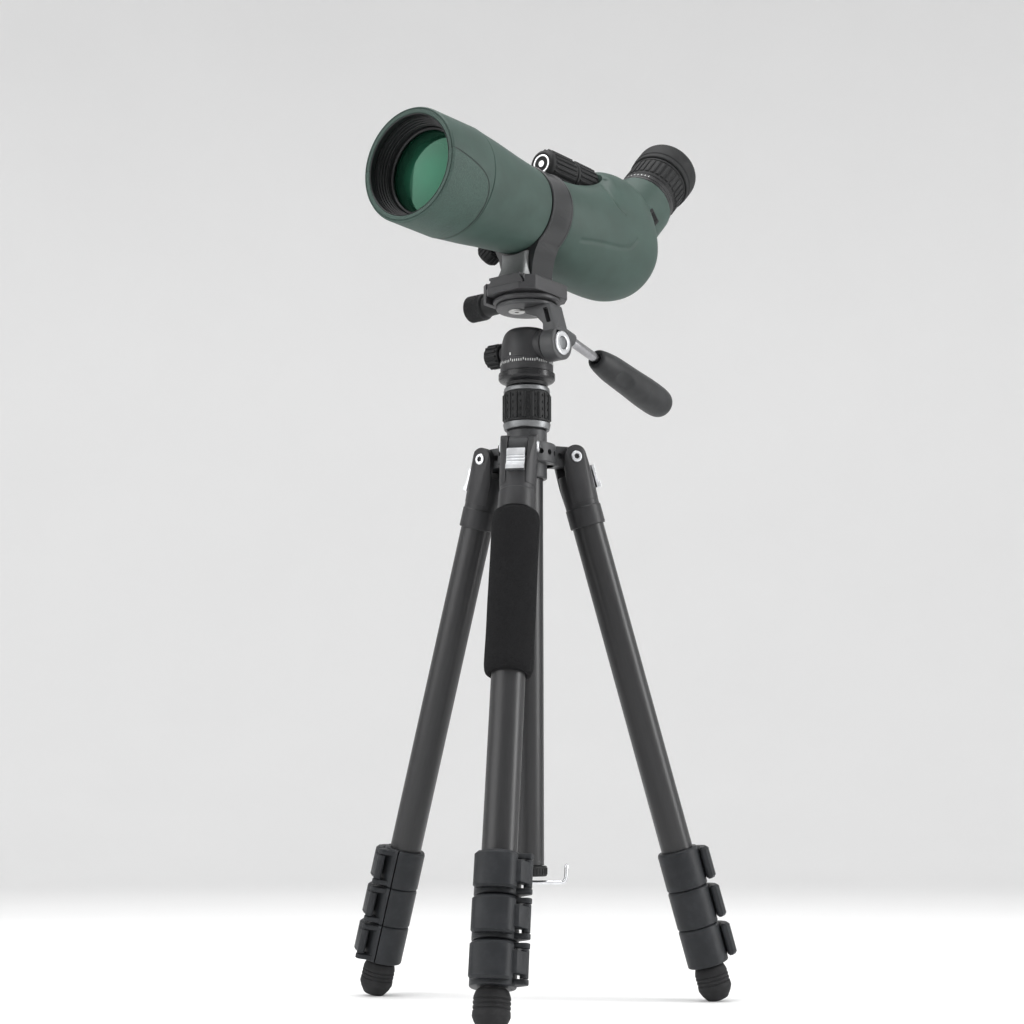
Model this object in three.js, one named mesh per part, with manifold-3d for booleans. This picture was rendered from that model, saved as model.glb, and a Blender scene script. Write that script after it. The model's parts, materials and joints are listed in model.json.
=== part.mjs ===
// Angled spotting scope on a compact tripod with a fluid pan and tilt head.
// Millimetres, +Z up. The optical axis runs along Y and the hood points to -Y.
import * as THREE from 'three';
import { mergeVertices } from 'three/addons/utils/BufferGeometryUtils.js';
import Module from 'manifold-3d';

const wasm = await Module();
wasm.setup();

// ---------------------------------------------------------------- driving dimensions
const GAP = 0.35;                 // running clearance between separate pieces
const ROUND = 20;                 // facets around ordinary turned pieces
const LEG_ROUND = 16;             // facets around leg tubes
const LARGE_ROUND = 28;           // facets around the scope tube
const SMALL_ROUND = 10;           // facets around pins, screws and bores

// Heights are measured from the leg pivots; the whole model is lifted to the floor at the end.
const OPTICAL_AXIS = 191;
const TILT_AXIS = 83;

// Tripod
const LEG_ANGLES = { front: 208.5, right: 328.5, left: 88.5 };
const LEG_LEAN = 16.3;
const PIVOT_RADIUS = 35;
const SECTION_RADII = [12, 10.4, 8.85, 7.3];
const TUBE_WALL = 1.2;
const SECTION_TOPS = [-20.5, -40, -46, -52];
const LOCK_TOP = -306;
const LOCK_HEIGHT = 29.4;
const LOCK_RADIUS = 15.6;
const FOOT_LENGTH = 26;
const FOAM_TOP = -54;
const FOAM_BOTTOM = -179;
const FOAM_RADIUS = 17.4;

// Centre column
const COLUMN_RADIUS = 12.2;
const COLUMN_BOTTOM = -304;
const TWIST_LOCK_BOTTOM = 19.4;
const TWIST_LOCK_TOP = 52.4;
const TWIST_LOCK_RADIUS = 18.6;
const HOOK_DIRECTION = 37.9;
const HOOK_NUT_RADIUS = 14.6;
const HOOK_REACH = 28.5;

// Head
const DIAL_SEAM = 64;
const HEAD_TOP = 98;
const PAN_LOCK_Z = 82;
const HANDLE_X = 27;
const HANDLE_START = [HANDLE_X, 17, 90.5];
const HANDLE_DROP = 12.5;         // degrees below level
const HANDLE_ROD_LENGTH = 37;
const HANDLE_GRIP_LENGTH = 99;

// Quick release
const CLAMP_BOTTOM = 117.4;
const CLAMP_TOP = 134;
const PLATE_TOP = 135.6;

// Scope
const HOOD_FRONT = -139.3;
const HOOD_SEAM = -92.3;
const HOOD_RADIUS = 42.5;
const LENS_RADIUS = 32.6;
const COLLAR_FRONT = -12.6;
const COLLAR_REAR = 13.1;
const COLLAR_RADIUS = 35.7;
const COLLAR_BORE = 33;
const BARREL_IN_COLLAR = 32.6;
const HOUSING_FRONT = 13.6;
const KNOB_FRONT = 19;
const KNOB_SEAM = 53;
const KNOB_REAR = 81.5;
const KNOB_RADIUS = 13.3;
const KNOB_HEIGHT = 46.5;         // above the optical axis

// Eyepiece: stations along an axis tilted up 45 degrees that starts on the optical axis
const EYE_ORIGIN_Y = 109;
const EYE_TILT = 45;
const SEAT = 71.6;
const ZOOM_BOTTOM = 82.4;
const ZOOM_TOP = 108.6;
const EYECUP_TOP = 131.6;

// ---------------------------------------------------------------- solid helpers
function solid(geometry) {
  const bare = geometry.clone();
  bare.deleteAttribute('normal');
  bare.deleteAttribute('uv');
  const merged = mergeVertices(bare, 1e-4);
  const position = merged.attributes.position;
  const index = merged.index.array;
  const corners = [];
  let volume = 0;
  const a = new THREE.Vector3();
  const b = new THREE.Vector3();
  const c = new THREE.Vector3();
  for (let i = 0; i < index.length; i += 3) {
    const [p, q, r] = [index[i], index[i + 1], index[i + 2]];
    if (p === q || q === r || r === p) continue;
    corners.push([p, q, r]);
    a.fromBufferAttribute(position, p);
    b.fromBufferAttribute(position, q);
    c.fromBufferAttribute(position, r);
    volume += a.dot(b.cross(c));
  }
  const ordered = corners.map(([p, q, r]) => (volume > 0 ? [p, q, r] : [p, r, q]));
  return new wasm.Manifold(new wasm.Mesh({
    numProp: 3,
    vertProperties: new Float32Array(position.array),
    triVerts: new Uint32Array(ordered.flat()),
  }));
}

// Turn a profile of [radius, height] points about Z. It closes on itself or ends on the axis.
function revolve(profile, segments = ROUND) {
  const points = profile.map(([r, z]) => new THREE.Vector2(r, z));
  const touchesAxis = profile[0][0] === 0;
  if (!touchesAxis) points.push(points[0].clone());
  const geometry = new THREE.LatheGeometry(points, segments);
  geometry.rotateX(Math.PI / 2);
  return solid(geometry);
}

function tube(outer, inner, z0, z1, segments = ROUND) {
  return revolve([[outer, z0], [outer, z1], [inner, z1], [inner, z0]], segments);
}

function rod(radius, z0, z1, segments = ROUND) {
  return revolve([[0, z0], [radius, z0], [radius, z1], [0, z1]], segments);
}

function block(x0, x1, y0, y1, z0, z1) {
  const geometry = new THREE.BoxGeometry(x1 - x0, y1 - y0, z1 - z0);
  geometry.translate((x0 + x1) / 2, (y0 + y1) / 2, (z0 + z1) / 2);
  return solid(geometry);
}

// Push a flat outline of [x, y] points up from z0 to z1.
function extrude(outline, z0, z1, bevel = 0) {
  const shape = new THREE.Shape(outline.map(([x, y]) => new THREE.Vector2(x, y)));
  const geometry = new THREE.ExtrudeGeometry(shape, {
    depth: z1 - z0 - 2 * bevel,
    bevelEnabled: bevel > 0,
    bevelThickness: bevel,
    bevelSize: bevel,
    bevelOffset: -bevel,
    bevelSegments: 1,
  });
  geometry.translate(0, 0, z0 + bevel);
  return solid(geometry);
}

function arcPoints(cx, cy, radius, fromDegrees, toDegrees, count) {
  return Array.from({ length: count + 1 }, (_, i) => {
    const t = THREE.MathUtils.degToRad(fromDegrees + (toDegrees - fromDegrees) * i / count);
    return [cx + radius * Math.cos(t), cy + radius * Math.sin(t)];
  });
}

function sweep(points, radius, steps) {
  const path = new THREE.CatmullRomCurve3(points.map((p) => new THREE.Vector3(...p)));
  const outline = arcPoints(0, 0, radius, 0, 300, 5).map(([x, y]) => new THREE.Vector2(x, y));
  return solid(new THREE.ExtrudeGeometry(new THREE.Shape(outline), { steps, extrudePath: path }));
}

// Skin egg-shaped cross sections that are stacked along Y and close both ends.
function loft(sections, inset = 0, segments = 24) {
  const positions = [];
  const index = [];
  for (const { y, below, above, half } of sections) {
    for (let i = 0; i < segments; i += 1) {
      const t = 2 * Math.PI * i / segments;
      const height = Math.sin(t) > 0 ? above : below;
      positions.push((half - inset) * Math.cos(t), y, (height - inset) * Math.sin(t));
    }
  }
  const rings = sections.length;
  for (let ring = 0; ring < rings - 1; ring += 1) {
    for (let i = 0; i < segments; i += 1) {
      const here = ring * segments + i;
      const next = ring * segments + (i + 1) % segments;
      index.push(here, next, here + segments, next, next + segments, here + segments);
    }
  }
  for (const ring of [0, rings - 1]) {
    const centre = positions.length / 3;
    positions.push(0, sections[ring].y, 0);
    for (let i = 0; i < segments; i += 1) {
      const here = ring * segments + i;
      const next = ring * segments + (i + 1) % segments;
      index.push(...(ring === 0 ? [centre, next, here] : [centre, here, next]));
    }
  }
  const geometry = new THREE.BufferGeometry();
  geometry.setAttribute('position', new THREE.Float32BufferAttribute(positions, 3));
  geometry.setIndex(index);
  return solid(geometry);
}

const union = (...solids) => solids.reduce((whole, piece) => whole.add(piece));
const alongY = (piece) => piece.rotate([-90, 0, 0]);      // +Z becomes +Y
const alongX = (piece) => piece.rotate([0, 90, 0]);       // +Z becomes +X
const onOpticalAxis = (piece) => alongY(piece).translate([0, 0, OPTICAL_AXIS]);

function onEyepieceAxis(piece) {
  return piece.rotate([-(90 - EYE_TILT), 0, 0]).translate([0, EYE_ORIGIN_Y, OPTICAL_AXIS]);
}

const group = new THREE.Group();
group.name = 'spotting_scope_on_tripod';

const FINISHES = {
  armour: { color: 0x5c6b64, roughness: 0.62, metalness: 0 },
  black_anodised: { color: 0x1d1e20, roughness: 0.42, metalness: 0.6 },
  black_casting: { color: 0x2a2b2d, roughness: 0.5, metalness: 0.4 },
  black_plastic: { color: 0x17181a, roughness: 0.55, metalness: 0 },
  black_rubber: { color: 0x1b1c1d, roughness: 0.8, metalness: 0 },
  foam: { color: 0x282828, roughness: 0.95, metalness: 0 },
  chrome: { color: 0xc9ccd0, roughness: 0.18, metalness: 1 },
  brushed_steel: { color: 0xb4b7ba, roughness: 0.35, metalness: 1 },
  coated_glass: { color: 0x2f6b55, roughness: 0.05, metalness: 0 },
};

function addPart(name, piece, finish) {
  const mesh = piece.getMesh();
  const geometry = new THREE.BufferGeometry();
  geometry.setAttribute('position', new THREE.BufferAttribute(mesh.vertProperties, 3));
  geometry.setIndex(new THREE.BufferAttribute(mesh.triVerts, 1));
  geometry.computeVertexNormals();
  const node = new THREE.Mesh(geometry, new THREE.MeshStandardMaterial(FINISHES[finish]));
  node.material.name = finish;
  node.name = name;
  group.add(node);
}

// ---------------------------------------------------------------- tripod legs
// Each leg is drawn hanging down from its pivot, with +Y facing away from the column.
const HINGE_HALF = 7.2;
const CHEEK_OUTER = 13.4;
const YOKE_BOTTOM = -53;

function legCasting() {
  const barrel = rod(13.6, YOKE_BOTTOM, -12.4, LEG_ROUND);
  const cheekOutline = [[-13.2, -34], [13.2, -34], ...arcPoints(0, 0, 9, 0, 180, 6)];
  const rounding = revolve([[0, -34], [13.8, -34], [14.8, -10], [15.8, 9.2], [0, 9.2]], LEG_ROUND);
  const cheek = extrude(cheekOutline, HINGE_HALF + GAP, CHEEK_OUTER).rotate([90, 0, 90])
    .intersect(rounding);
  const opposite = cheek.mirror([1, 0, 0]);
  const pin = alongX(rod(3, -CHEEK_OUTER + 1, CHEEK_OUTER - 1, SMALL_ROUND));
  const bore = rod(SECTION_RADII[0] + GAP, YOKE_BOTTOM - 1, -20.1, LEG_ROUND);
  const stopPocket = block(-7.2, 7.2, 12.8, 20, -26.4, -8);
  return union(barrel, cheek, opposite, pin).subtract(bore).subtract(stopPocket);
}

function stopTab() {
  const plate = block(-6.8, 6.8, 13.1, 15.4, -25, -8.4);
  const thumbEdge = block(-6.8, 6.8, 13.1, 17, -26, -22);
  const tongue = block(-5, 5, 8.8, 13.6, -11.8, -9);
  return union(plate, thumbEdge, tongue);
}

const LEVER_PIN = [-20.8, 4];

function lockLugs(centre) {
  const lug = (z) => extrude(
    [[-14.2, -4], ...arcPoints(...LEVER_PIN, 3.2, 250, 90, 4), [-13.4, 7.4]], z - 1.8, z + 1.8);
  return union(lug(centre - 11.6), lug(centre + 11.6));
}

function legSection(level) {
  const outer = SECTION_RADII[level];
  const bore = outer - TUBE_WALL;
  const lockTop = LOCK_TOP - LOCK_HEIGHT * level;
  const lockBottom = lockTop - LOCK_HEIGHT + 0.4;
  if (level === 3) {
    return revolve([
      [0, lockTop], [bore, lockTop], [bore, SECTION_TOPS[3]], [outer, SECTION_TOPS[3]],
      [outer, lockTop - 0.4], [11, lockTop - 2], [12.6, lockTop - 18],
      [8, lockTop - FOOT_LENGTH], [0, lockTop - FOOT_LENGTH - 1.6]], LEG_ROUND);
  }
  const shell = revolve([
    [bore, SECTION_TOPS[level]], [outer, SECTION_TOPS[level]], [outer, lockTop],
    [LOCK_RADIUS, lockTop - 2], [LOCK_RADIUS, lockBottom], [bore, lockBottom]], LEG_ROUND);
  return shell.add(lockLugs((lockTop + lockBottom) / 2));
}

function flipLever(level) {
  const centre = LOCK_TOP - LOCK_HEIGHT * (level + 0.5) + 0.2;
  const inner = LOCK_RADIUS + GAP + 0.2;
  const plate = extrude([[-15.6, 12], [-13.4, 18.6], [-9, 21.8], [5, 22.6], [11.4, 20.6],
    [14.4, 15], ...arcPoints(0, 0, inner, 48, 140, 5)], centre - 12, centre + 12);
  const arm = extrude([[-23.2, 5.6], [-17.6, 14.6], [-12, 15.4], [-13, 9.6], [-17.8, 3.4]],
    centre - 9.2, centre + 9.2);
  const knuckle = rod(2.9, centre - 9.2, centre + 9.2, 8).translate([...LEVER_PIN, 0]);
  const clearance = rod(LOCK_RADIUS + GAP, centre - 15, centre + 15, LEG_ROUND);
  return union(plate, arm, knuckle).subtract(clearance);
}

function placeLeg(piece, angle) {
  return piece.rotate([LEG_LEAN, 0, 0]).translate([0, PIVOT_RADIUS, 0]).rotate([0, 0, angle]);
}

for (const [side, angle] of Object.entries(LEG_ANGLES)) {
  addPart(`${side}_leg_casting`, placeLeg(legCasting(), angle), 'black_casting');
  addPart(`${side}_angle_stop`, placeLeg(stopTab(), angle), 'brushed_steel');
  for (let level = 0; level < 4; level += 1) {
    addPart(`${side}_leg_section_${level + 1}`, placeLeg(legSection(level), angle), 'black_anodised');
  }
  for (let level = 0; level < 3; level += 1) {
    addPart(`${side}_lock_lever_${level + 1}`, placeLeg(flipLever(level), angle), 'black_plastic');
  }
}

const foam = revolve([
  [SECTION_RADII[0] + GAP, FOAM_TOP], [FOAM_RADIUS - 1.6, FOAM_TOP], [FOAM_RADIUS, FOAM_TOP - 3],
  [FOAM_RADIUS, FOAM_BOTTOM + 3], [FOAM_RADIUS - 1.6, FOAM_BOTTOM],
  [SECTION_RADII[0] + GAP, FOAM_BOTTOM]], LEG_ROUND);
addPart('foam_grip', placeLeg(foam, LEG_ANGLES.front), 'foam');

// ---------------------------------------------------------------- spider and centre column
function spider() {
  let body = union(rod(15.2, -18, TWIST_LOCK_BOTTOM - GAP), rod(22, -7, 8), rod(14.3, 0, 46));
  for (const angle of Object.values(LEG_ANGLES)) {
    const outline = [[-HINGE_HALF, 0], [HINGE_HALF, 0], [HINGE_HALF, PIVOT_RADIUS],
      [-HINGE_HALF, PIVOT_RADIUS]];
    const arm = extrude(outline, -7, 8);
    const eye = alongX(rod(8, -HINGE_HALF, HINGE_HALF, 12)).translate([0, PIVOT_RADIUS, 0]);
    const hole = alongX(rod(3 + GAP, -HINGE_HALF - 1, HINGE_HALF + 1, SMALL_ROUND))
      .translate([0, PIVOT_RADIUS, 0]);
    body = body.add(arm.add(eye).subtract(hole).rotate([0, 0, angle]));
  }
  return body.subtract(rod(COLUMN_RADIUS + GAP, -30, 60));
}
addPart('spider', spider(), 'black_casting');

addPart('column_twist_lock', revolve([
  [14.3 + GAP, TWIST_LOCK_BOTTOM], [17, TWIST_LOCK_BOTTOM],
  [TWIST_LOCK_RADIUS, TWIST_LOCK_BOTTOM + 6], [TWIST_LOCK_RADIUS, TWIST_LOCK_TOP - 5],
  [17.2, TWIST_LOCK_TOP - 4], [17.2, TWIST_LOCK_TOP], [COLUMN_RADIUS + GAP, TWIST_LOCK_TOP],
  [COLUMN_RADIUS + GAP, 46.4], [14.3 + GAP, 46.4]]), 'black_rubber');

addPart('centre_column', revolve([
  [0, 48], [COLUMN_RADIUS - 1.4, 48], [COLUMN_RADIUS - 1.4, COLUMN_BOTTOM],
  [COLUMN_RADIUS, COLUMN_BOTTOM], [COLUMN_RADIUS, 52.6], [4.7, 52.6], [4.7, 60], [0, 60]]),
'black_anodised');

function weightHook() {
  const plug = rod(10.3, COLUMN_BOTTOM - 1, COLUMN_BOTTOM + 14, LEG_ROUND);
  const nut = rod(HOOK_NUT_RADIUS, COLUMN_BOTTOM - 8, COLUMN_BOTTOM - 0.4);
  const z = COLUMN_BOTTOM - 8;
  const wire = sweep([[0, 0, z + 1], [0, 0, z - 2], [1, 0, z - 3.6], [4, 0, z - 4.4],
    [HOOK_REACH - 5, 0, z - 4.4], [HOOK_REACH - 1.6, 0, z - 3.4], [HOOK_REACH - 0.4, 0, z],
    [HOOK_REACH, 0, z + 9]], 1.5, 12);
  return union(plug, nut, wire).rotate([0, 0, HOOK_DIRECTION]);
}
addPart('weight_hook', weightHook(), 'chrome');

// ---------------------------------------------------------------- pan and tilt head
const panBase = revolve([
  [0, 52.9 + 8.2], [5.1, 61.1], [5.1, 53], [15.6, 53], [16.4, 55.4], [21.6, 58.6],
  [21.4, DIAL_SEAM - 0.4], [18.2, DIAL_SEAM - 0.4], [18.2, DIAL_SEAM + 2.4], [0, DIAL_SEAM + 2.4]]);
addPart('pan_base', panBase, 'black_anodised');

function headBody() {
  const dome = revolve([[0, DIAL_SEAM + 2.8], [18.6, DIAL_SEAM + 2.8], [18.6, DIAL_SEAM],
    [20.2, DIAL_SEAM], [20.2, 73.4], [19.6, 74.2], [19.8, 80], [19.2, 87.5], [17, 94],
    [14.4, 97], [12.6, HEAD_TOP], [0, HEAD_TOP]]);
  const stub = alongX(rod(12.6, 4, 20.8)).translate([0, 0, TILT_AXIS]);
  const lockBoss = alongX(rod(6.4, -22.4, -10, SMALL_ROUND)).translate([0, 0, PAN_LOCK_Z]);
  const lockHole = alongX(rod(3.4, -30, -16, SMALL_ROUND)).translate([0, 0, PAN_LOCK_Z]);
  const pinHole = alongX(rod(4.4, 10, 30, SMALL_ROUND)).translate([0, 0, TILT_AXIS]);
  return union(dome, stub, lockBoss).subtract(lockHole).subtract(pinHole);
}
addPart('pan_head_body', headBody(), 'black_casting');

function lockKnob(radius, length, stem, stemLength) {
  return revolve([[0, -stemLength], [stem, -stemLength], [stem, 0], [radius - 0.8, 0],
    [radius, 0.9], [radius, length - 1.6], [radius - 1.6, length], [0, length]], 20);
}
addPart('pan_lock_knob',
  lockKnob(9.6, 14, 3, 6.4).rotate([0, -90, 0]).translate([-22.8, 0, PAN_LOCK_Z]), 'black_rubber');

function onHandleAxis(piece) {
  return piece.rotate([-(90 + HANDLE_DROP), 0, 0]).translate(HANDLE_START);
}

function tiltArm() {
  const boss = alongX(rod(12.8, 21.2, 33.6)).translate([0, 0, TILT_AXIS]);
  const pin = alongX(rod(4, 11, 24, SMALL_ROUND)).translate([0, 0, TILT_AXIS]);
  const webOutline = [[21.2, 86], [33.6, 86], [33.6, 92], [27.4, 114], [3, 114], [5, 108.8],
    [15, 105], [21.2, 98.5]];
  const web = extrude(webOutline, -8.5, 8.5).rotate([90, 0, 0]);
  const disc = rod(23.5, CLAMP_BOTTOM - 3.8, CLAMP_BOTTOM - 0.3, 28);
  const handleBoss = onHandleAxis(rod(5.7, -14, 3.4, 14));
  const socket = onHandleAxis(rod(3.7 + GAP, -9, 5, SMALL_ROUND));
  return union(boss, pin, web, disc, handleBoss).subtract(socket);
}
addPart('tilt_arm', tiltArm(), 'black_casting');

addPart('handle_rod',
  onHandleAxis(rod(3.7, -8.6, HANDLE_ROD_LENGTH + 24, SMALL_ROUND)), 'chrome');

function handleGrip() {
  const start = HANDLE_ROD_LENGTH;
  const end = start + HANDLE_GRIP_LENGTH;
  const body = revolve([[0, start + 24.5], [3.7 + GAP, start + 24.5], [3.7 + GAP, start],
    [7.4, start], [8.6, start + 3], [11, start + 22], [11.6, start + 46], [12.6, start + 76],
    [12.2, end - 9], [9.2, end - 2.4], [5.4, end], [0, end]], 20);
  const thumbDish = solid(new THREE.SphereGeometry(30, 16, 12)).translate([0, 38.6, start + 30]);
  return body.subtract(thumbDish);
}
addPart('handle_grip', onHandleAxis(handleGrip()), 'black_rubber');

// ---------------------------------------------------------------- quick release
const CLAMP_X = [-19.6, 24];
const CLAMP_Y = 29;
const CLAMP_CORNER = 9;
const JAW_X = [-25.8, -20];
const DOVETAIL_HALF = 15;
const KNOB_AXIS_Z = 124;

function clampBody() {
  const [x0, x1] = CLAMP_X;
  const outline = [[x0, -CLAMP_Y + 4], [x0 + 4, -CLAMP_Y], [x1 - CLAMP_CORNER, -CLAMP_Y],
    [x1, -CLAMP_Y + CLAMP_CORNER], [x1, CLAMP_Y - CLAMP_CORNER], [x1 - CLAMP_CORNER, CLAMP_Y],
    [x0 + 4, CLAMP_Y], [x0, CLAMP_Y - 4]];
  const deck = extrude(outline, 122.6, CLAMP_TOP);
  const boss = rod(26.4, CLAMP_BOTTOM + 0.1, 121, 28).intersect(block(x0, 40, -40, 40, 110, 140));
  const taper = rod(22, 120, 123.6).intersect(block(x0, 40, -40, 40, 110, 140));
  const channel = block(x0 - 1, DOVETAIL_HALF + 2.4 + GAP, -40, 40, 127.6, CLAMP_TOP + 1);
  const lip = extrude([[DOVETAIL_HALF + GAP, CLAMP_TOP], [DOVETAIL_HALF + 3, CLAMP_TOP],
    [DOVETAIL_HALF + 3, 129.6]], -27, 27).rotate([90, 0, 0]);
  const screwHole = alongX(rod(3.4, -30, 4, SMALL_ROUND)).translate([0, 0, KNOB_AXIS_Z]);
  return union(deck, boss, taper).subtract(channel).add(lip).subtract(screwHole);
}
addPart('clamp_body', clampBody(), 'black_casting');

function clampJaw() {
  const [x0, x1] = JAW_X;
  const plate = extrude([[x0, -21], [x1, -25], [x1, 25], [x0, 21]], 117.8, 133.4);
  const lip = extrude([[x1 - 1, 132.8], [x1 + 4.6, 132.8], [x1 + 1.4, 128.4], [x1 - 1, 128.4]],
    -24, 24).rotate([90, 0, 0]);
  const hole = alongX(rod(3.4, -40, -10, SMALL_ROUND)).translate([0, 0, KNOB_AXIS_Z]);
  return plate.add(lip).subtract(hole);
}
addPart('clamp_jaw', clampJaw(), 'black_casting');

function clampKnob() {
  const knob = revolve([[0, -29], [2.9, -29], [2.9, 0], [7.6, 0], [8.2, 12.6], [9.6, 13.4],
    [10.4, 14.6], [10.4, 28.4], [9, 30], [0, 30]], 20);
  return knob.rotate([0, -90, 0]).translate([JAW_X[0] - 0.4, 0, KNOB_AXIS_Z]);
}
addPart('clamp_knob', clampKnob(), 'black_rubber');

function releasePlate() {
  const half = DOVETAIL_HALF - 0.4;
  const profile = [[-half - 0.2, PLATE_TOP], [half - 0.2, PLATE_TOP], [half - 0.2, CLAMP_TOP - 0.2],
    [half + 2, 129.8], [half + 2, 128], [-half - 1, 128], [-half - 1, 129.4],
    [-half + 1.2, 132.8], [-half - 0.2, 133.6]];
  return extrude(profile, -28, 28).rotate([90, 0, 0]);
}
addPart('quick_release_plate', releasePlate(), 'black_casting');

// ---------------------------------------------------------------- tripod collar
const COLLAR_KNOB_ANGLE = 34;     // degrees below level on the -X side

function onCollarScrew(piece) {
  return piece.rotate([0, -(90 + COLLAR_KNOB_ANGLE), 0]).translate([0, 0, OPTICAL_AXIS]);
}

function tripodCollar() {
  const ring = onOpticalAxis(tube(COLLAR_RADIUS, COLLAR_BORE, COLLAR_FRONT, COLLAR_REAR, LARGE_ROUND));
  const under = OPTICAL_AXIS - 34.6;
  const foot = extrude([[-11, -22], [11, -22], [14, -13], [14, 17], [9, 21], [-9, 21],
    [-14, 17], [-14, -13]], PLATE_TOP + 0.4, under + 6);
  const flare = extrude([[-14, PLATE_TOP + 0.4], [14, PLATE_TOP + 0.4], [20, under + 8],
    [-20, under + 8]], -COLLAR_REAR, -COLLAR_FRONT).rotate([90, 0, 0]);
  const boss = onCollarScrew(rod(6.6, 34.4, 38.4, SMALL_ROUND));
  const screwHole = onCollarScrew(rod(3.3, 30, 44, SMALL_ROUND));
  const barrelRoom = onOpticalAxis(rod(COLLAR_BORE, -20, 20, LARGE_ROUND));
  const frontRoom = onOpticalAxis(rod(36.8, -60, COLLAR_FRONT, LARGE_ROUND));
  const rearRoom = onOpticalAxis(rod(39.4, COLLAR_REAR, 60, LARGE_ROUND));
  return union(ring, flare, foot, boss).subtract(screwHole).subtract(barrelRoom)
    .subtract(frontRoom).subtract(rearRoom);
}
addPart('tripod_collar', tripodCollar(), 'black_anodised');
addPart('collar_lock_knob',
  onCollarScrew(lockKnob(9.6, 11, 2.9, 4.6).translate([0, 0, 38.8])), 'black_rubber');

// ---------------------------------------------------------------- scope shells
const BARREL_FRONT = -131;

const hood = revolve([
  [37.4, HOOD_FRONT + 1], [38.2, HOOD_FRONT], [HOOD_RADIUS - 1, HOOD_FRONT],
  [HOOD_RADIUS, HOOD_FRONT + 1.2], [HOOD_RADIUS + 0.5, HOOD_SEAM - 0.4], [40.7, HOOD_SEAM - 0.4],
  [40.7, BARREL_FRONT - 3.4], [37.4, BARREL_FRONT - 3.4]], LARGE_ROUND);
addPart('objective_hood', onOpticalAxis(hood), 'armour');

const barrel = revolve([
  [38.2, BARREL_FRONT], [40.3, BARREL_FRONT], [40.3, HOOD_SEAM], [42.6, HOOD_SEAM],
  [40.2, -66], [37.2, -40], [34.6, COLLAR_FRONT - 0.5],
  [BARREL_IN_COLLAR, COLLAR_FRONT - 0.5], [BARREL_IN_COLLAR, HOUSING_FRONT - 0.4],
  [29.4, HOUSING_FRONT - 0.4], [35.5, -104], [38.2, -104]], LARGE_ROUND);
addPart('objective_barrel', onOpticalAxis(barrel), 'armour');

const cell = revolve([
  [36.4, BARREL_FRONT - 2.6], [37.8, BARREL_FRONT - 2.6], [37.8, -104.4], [30, -104.4],
  [30, -109], [LENS_RADIUS + GAP, -109], [LENS_RADIUS + GAP, -123.6], [35, -123.6], [35, -128]], LARGE_ROUND);
addPart('objective_cell', onOpticalAxis(cell), 'black_anodised');

function lens(radius, z0, z1, bulgeFront, bulgeRear, segments) {
  const front = [[0, z0 - bulgeFront], [radius * 0.6, z0 - bulgeFront * 0.64], [radius, z0]];
  const rear = [[radius, z1], [radius * 0.6, z1 + bulgeRear * 0.64], [0, z1 + bulgeRear]];
  return revolve([...front, ...rear], segments);
}
addPart('objective_lens',
  onOpticalAxis(lens(LENS_RADIUS, -118, -110.4, 2.8, 1.6, LARGE_ROUND)), 'coated_glass');

const HOUSING_SECTIONS = [
  { y: HOUSING_FRONT, below: 33.8, above: 33.8, half: 33.8 },
  { y: 26, below: 37.2, above: 34.4, half: 35.4 },
  { y: 42, below: 41.2, above: 35.8, half: 37.2 },
  { y: 60, below: 44.2, above: 39.6, half: 38.6 },
  { y: 74, below: 45.4, above: 46, half: 39.2 },
  { y: 84, below: 45.8, above: 58, half: 39.4 },
  { y: 108, below: 44.8, above: 61, half: 38.8 },
  { y: 132, below: 36.4, above: 54, half: 34 },
  { y: 141, below: 27, above: 38, half: 27.4 },
  { y: 147, below: 12, above: 16, half: 14 },
];
const NECK_RADIUS = 27.2;
const BUTTON_STATION = 40;

function prismHousing() {
  const shell = loft(HOUSING_SECTIONS).translate([0, 0, OPTICAL_AXIS]);
  const neck = onEyepieceAxis(revolve([[0, 8], [22, 8], [NECK_RADIUS, 22],
    [NECK_RADIUS, SEAT - 0.4], [0, SEAT - 0.4]], LARGE_ROUND));
  const inner = HOUSING_SECTIONS.slice(0, -2).map((s) => ({
    y: s.y, below: Math.min(s.below, 42), above: Math.min(s.above, 31.8), half: s.half }));
  inner[0].y -= 1;
  const cavity = loft(inner, 3.2, 16).translate([0, 0, OPTICAL_AXIS]);
  const eyeBore = onEyepieceAxis(rod(16.4, 10, SEAT + 1));
  const knobRoom = onOpticalAxis(rod(KNOB_RADIUS + 2.4, KNOB_FRONT - 8, KNOB_REAR + 0.5))
    .translate([0, 0, KNOB_HEIGHT]);
  const shaftBore = onOpticalAxis(rod(3.4, KNOB_REAR - 2, KNOB_REAR + 9, SMALL_ROUND))
    .translate([0, 0, KNOB_HEIGHT]);
  const buttonPocket = onEyepieceAxis(
    block(20.6, 36, -6.6, 6.6, BUTTON_STATION - 4.6, BUTTON_STATION + 4.6));
  return shell.add(neck).subtract(cavity).subtract(eyeBore).subtract(knobRoom)
    .subtract(shaftBore).subtract(buttonPocket);
}
addPart('prism_housing', prismHousing(), 'armour');

const buttonBlock = block(23, 28, -6, 6, BUTTON_STATION - 4, BUTTON_STATION + 4);
addPart('eyepiece_release_button', onEyepieceAxis(buttonBlock), 'black_plastic');

const prism = extrude([[84, -20], [112, -20], [126, -6], [112, 15], [100, 24], [84, 24]], -17, 17)
  .rotate([90, 0, 0]).rotate([0, 0, 90]).translate([0, 0, OPTICAL_AXIS - 2]);
addPart('erecting_prism', prism, 'coated_glass');

addPart('focusing_lens', onOpticalAxis(revolve([
  [0, 34.6], [12.5, 33], [17, 33], [17, 41], [12.5, 41], [0, 39.4]])),
'coated_glass');

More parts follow.
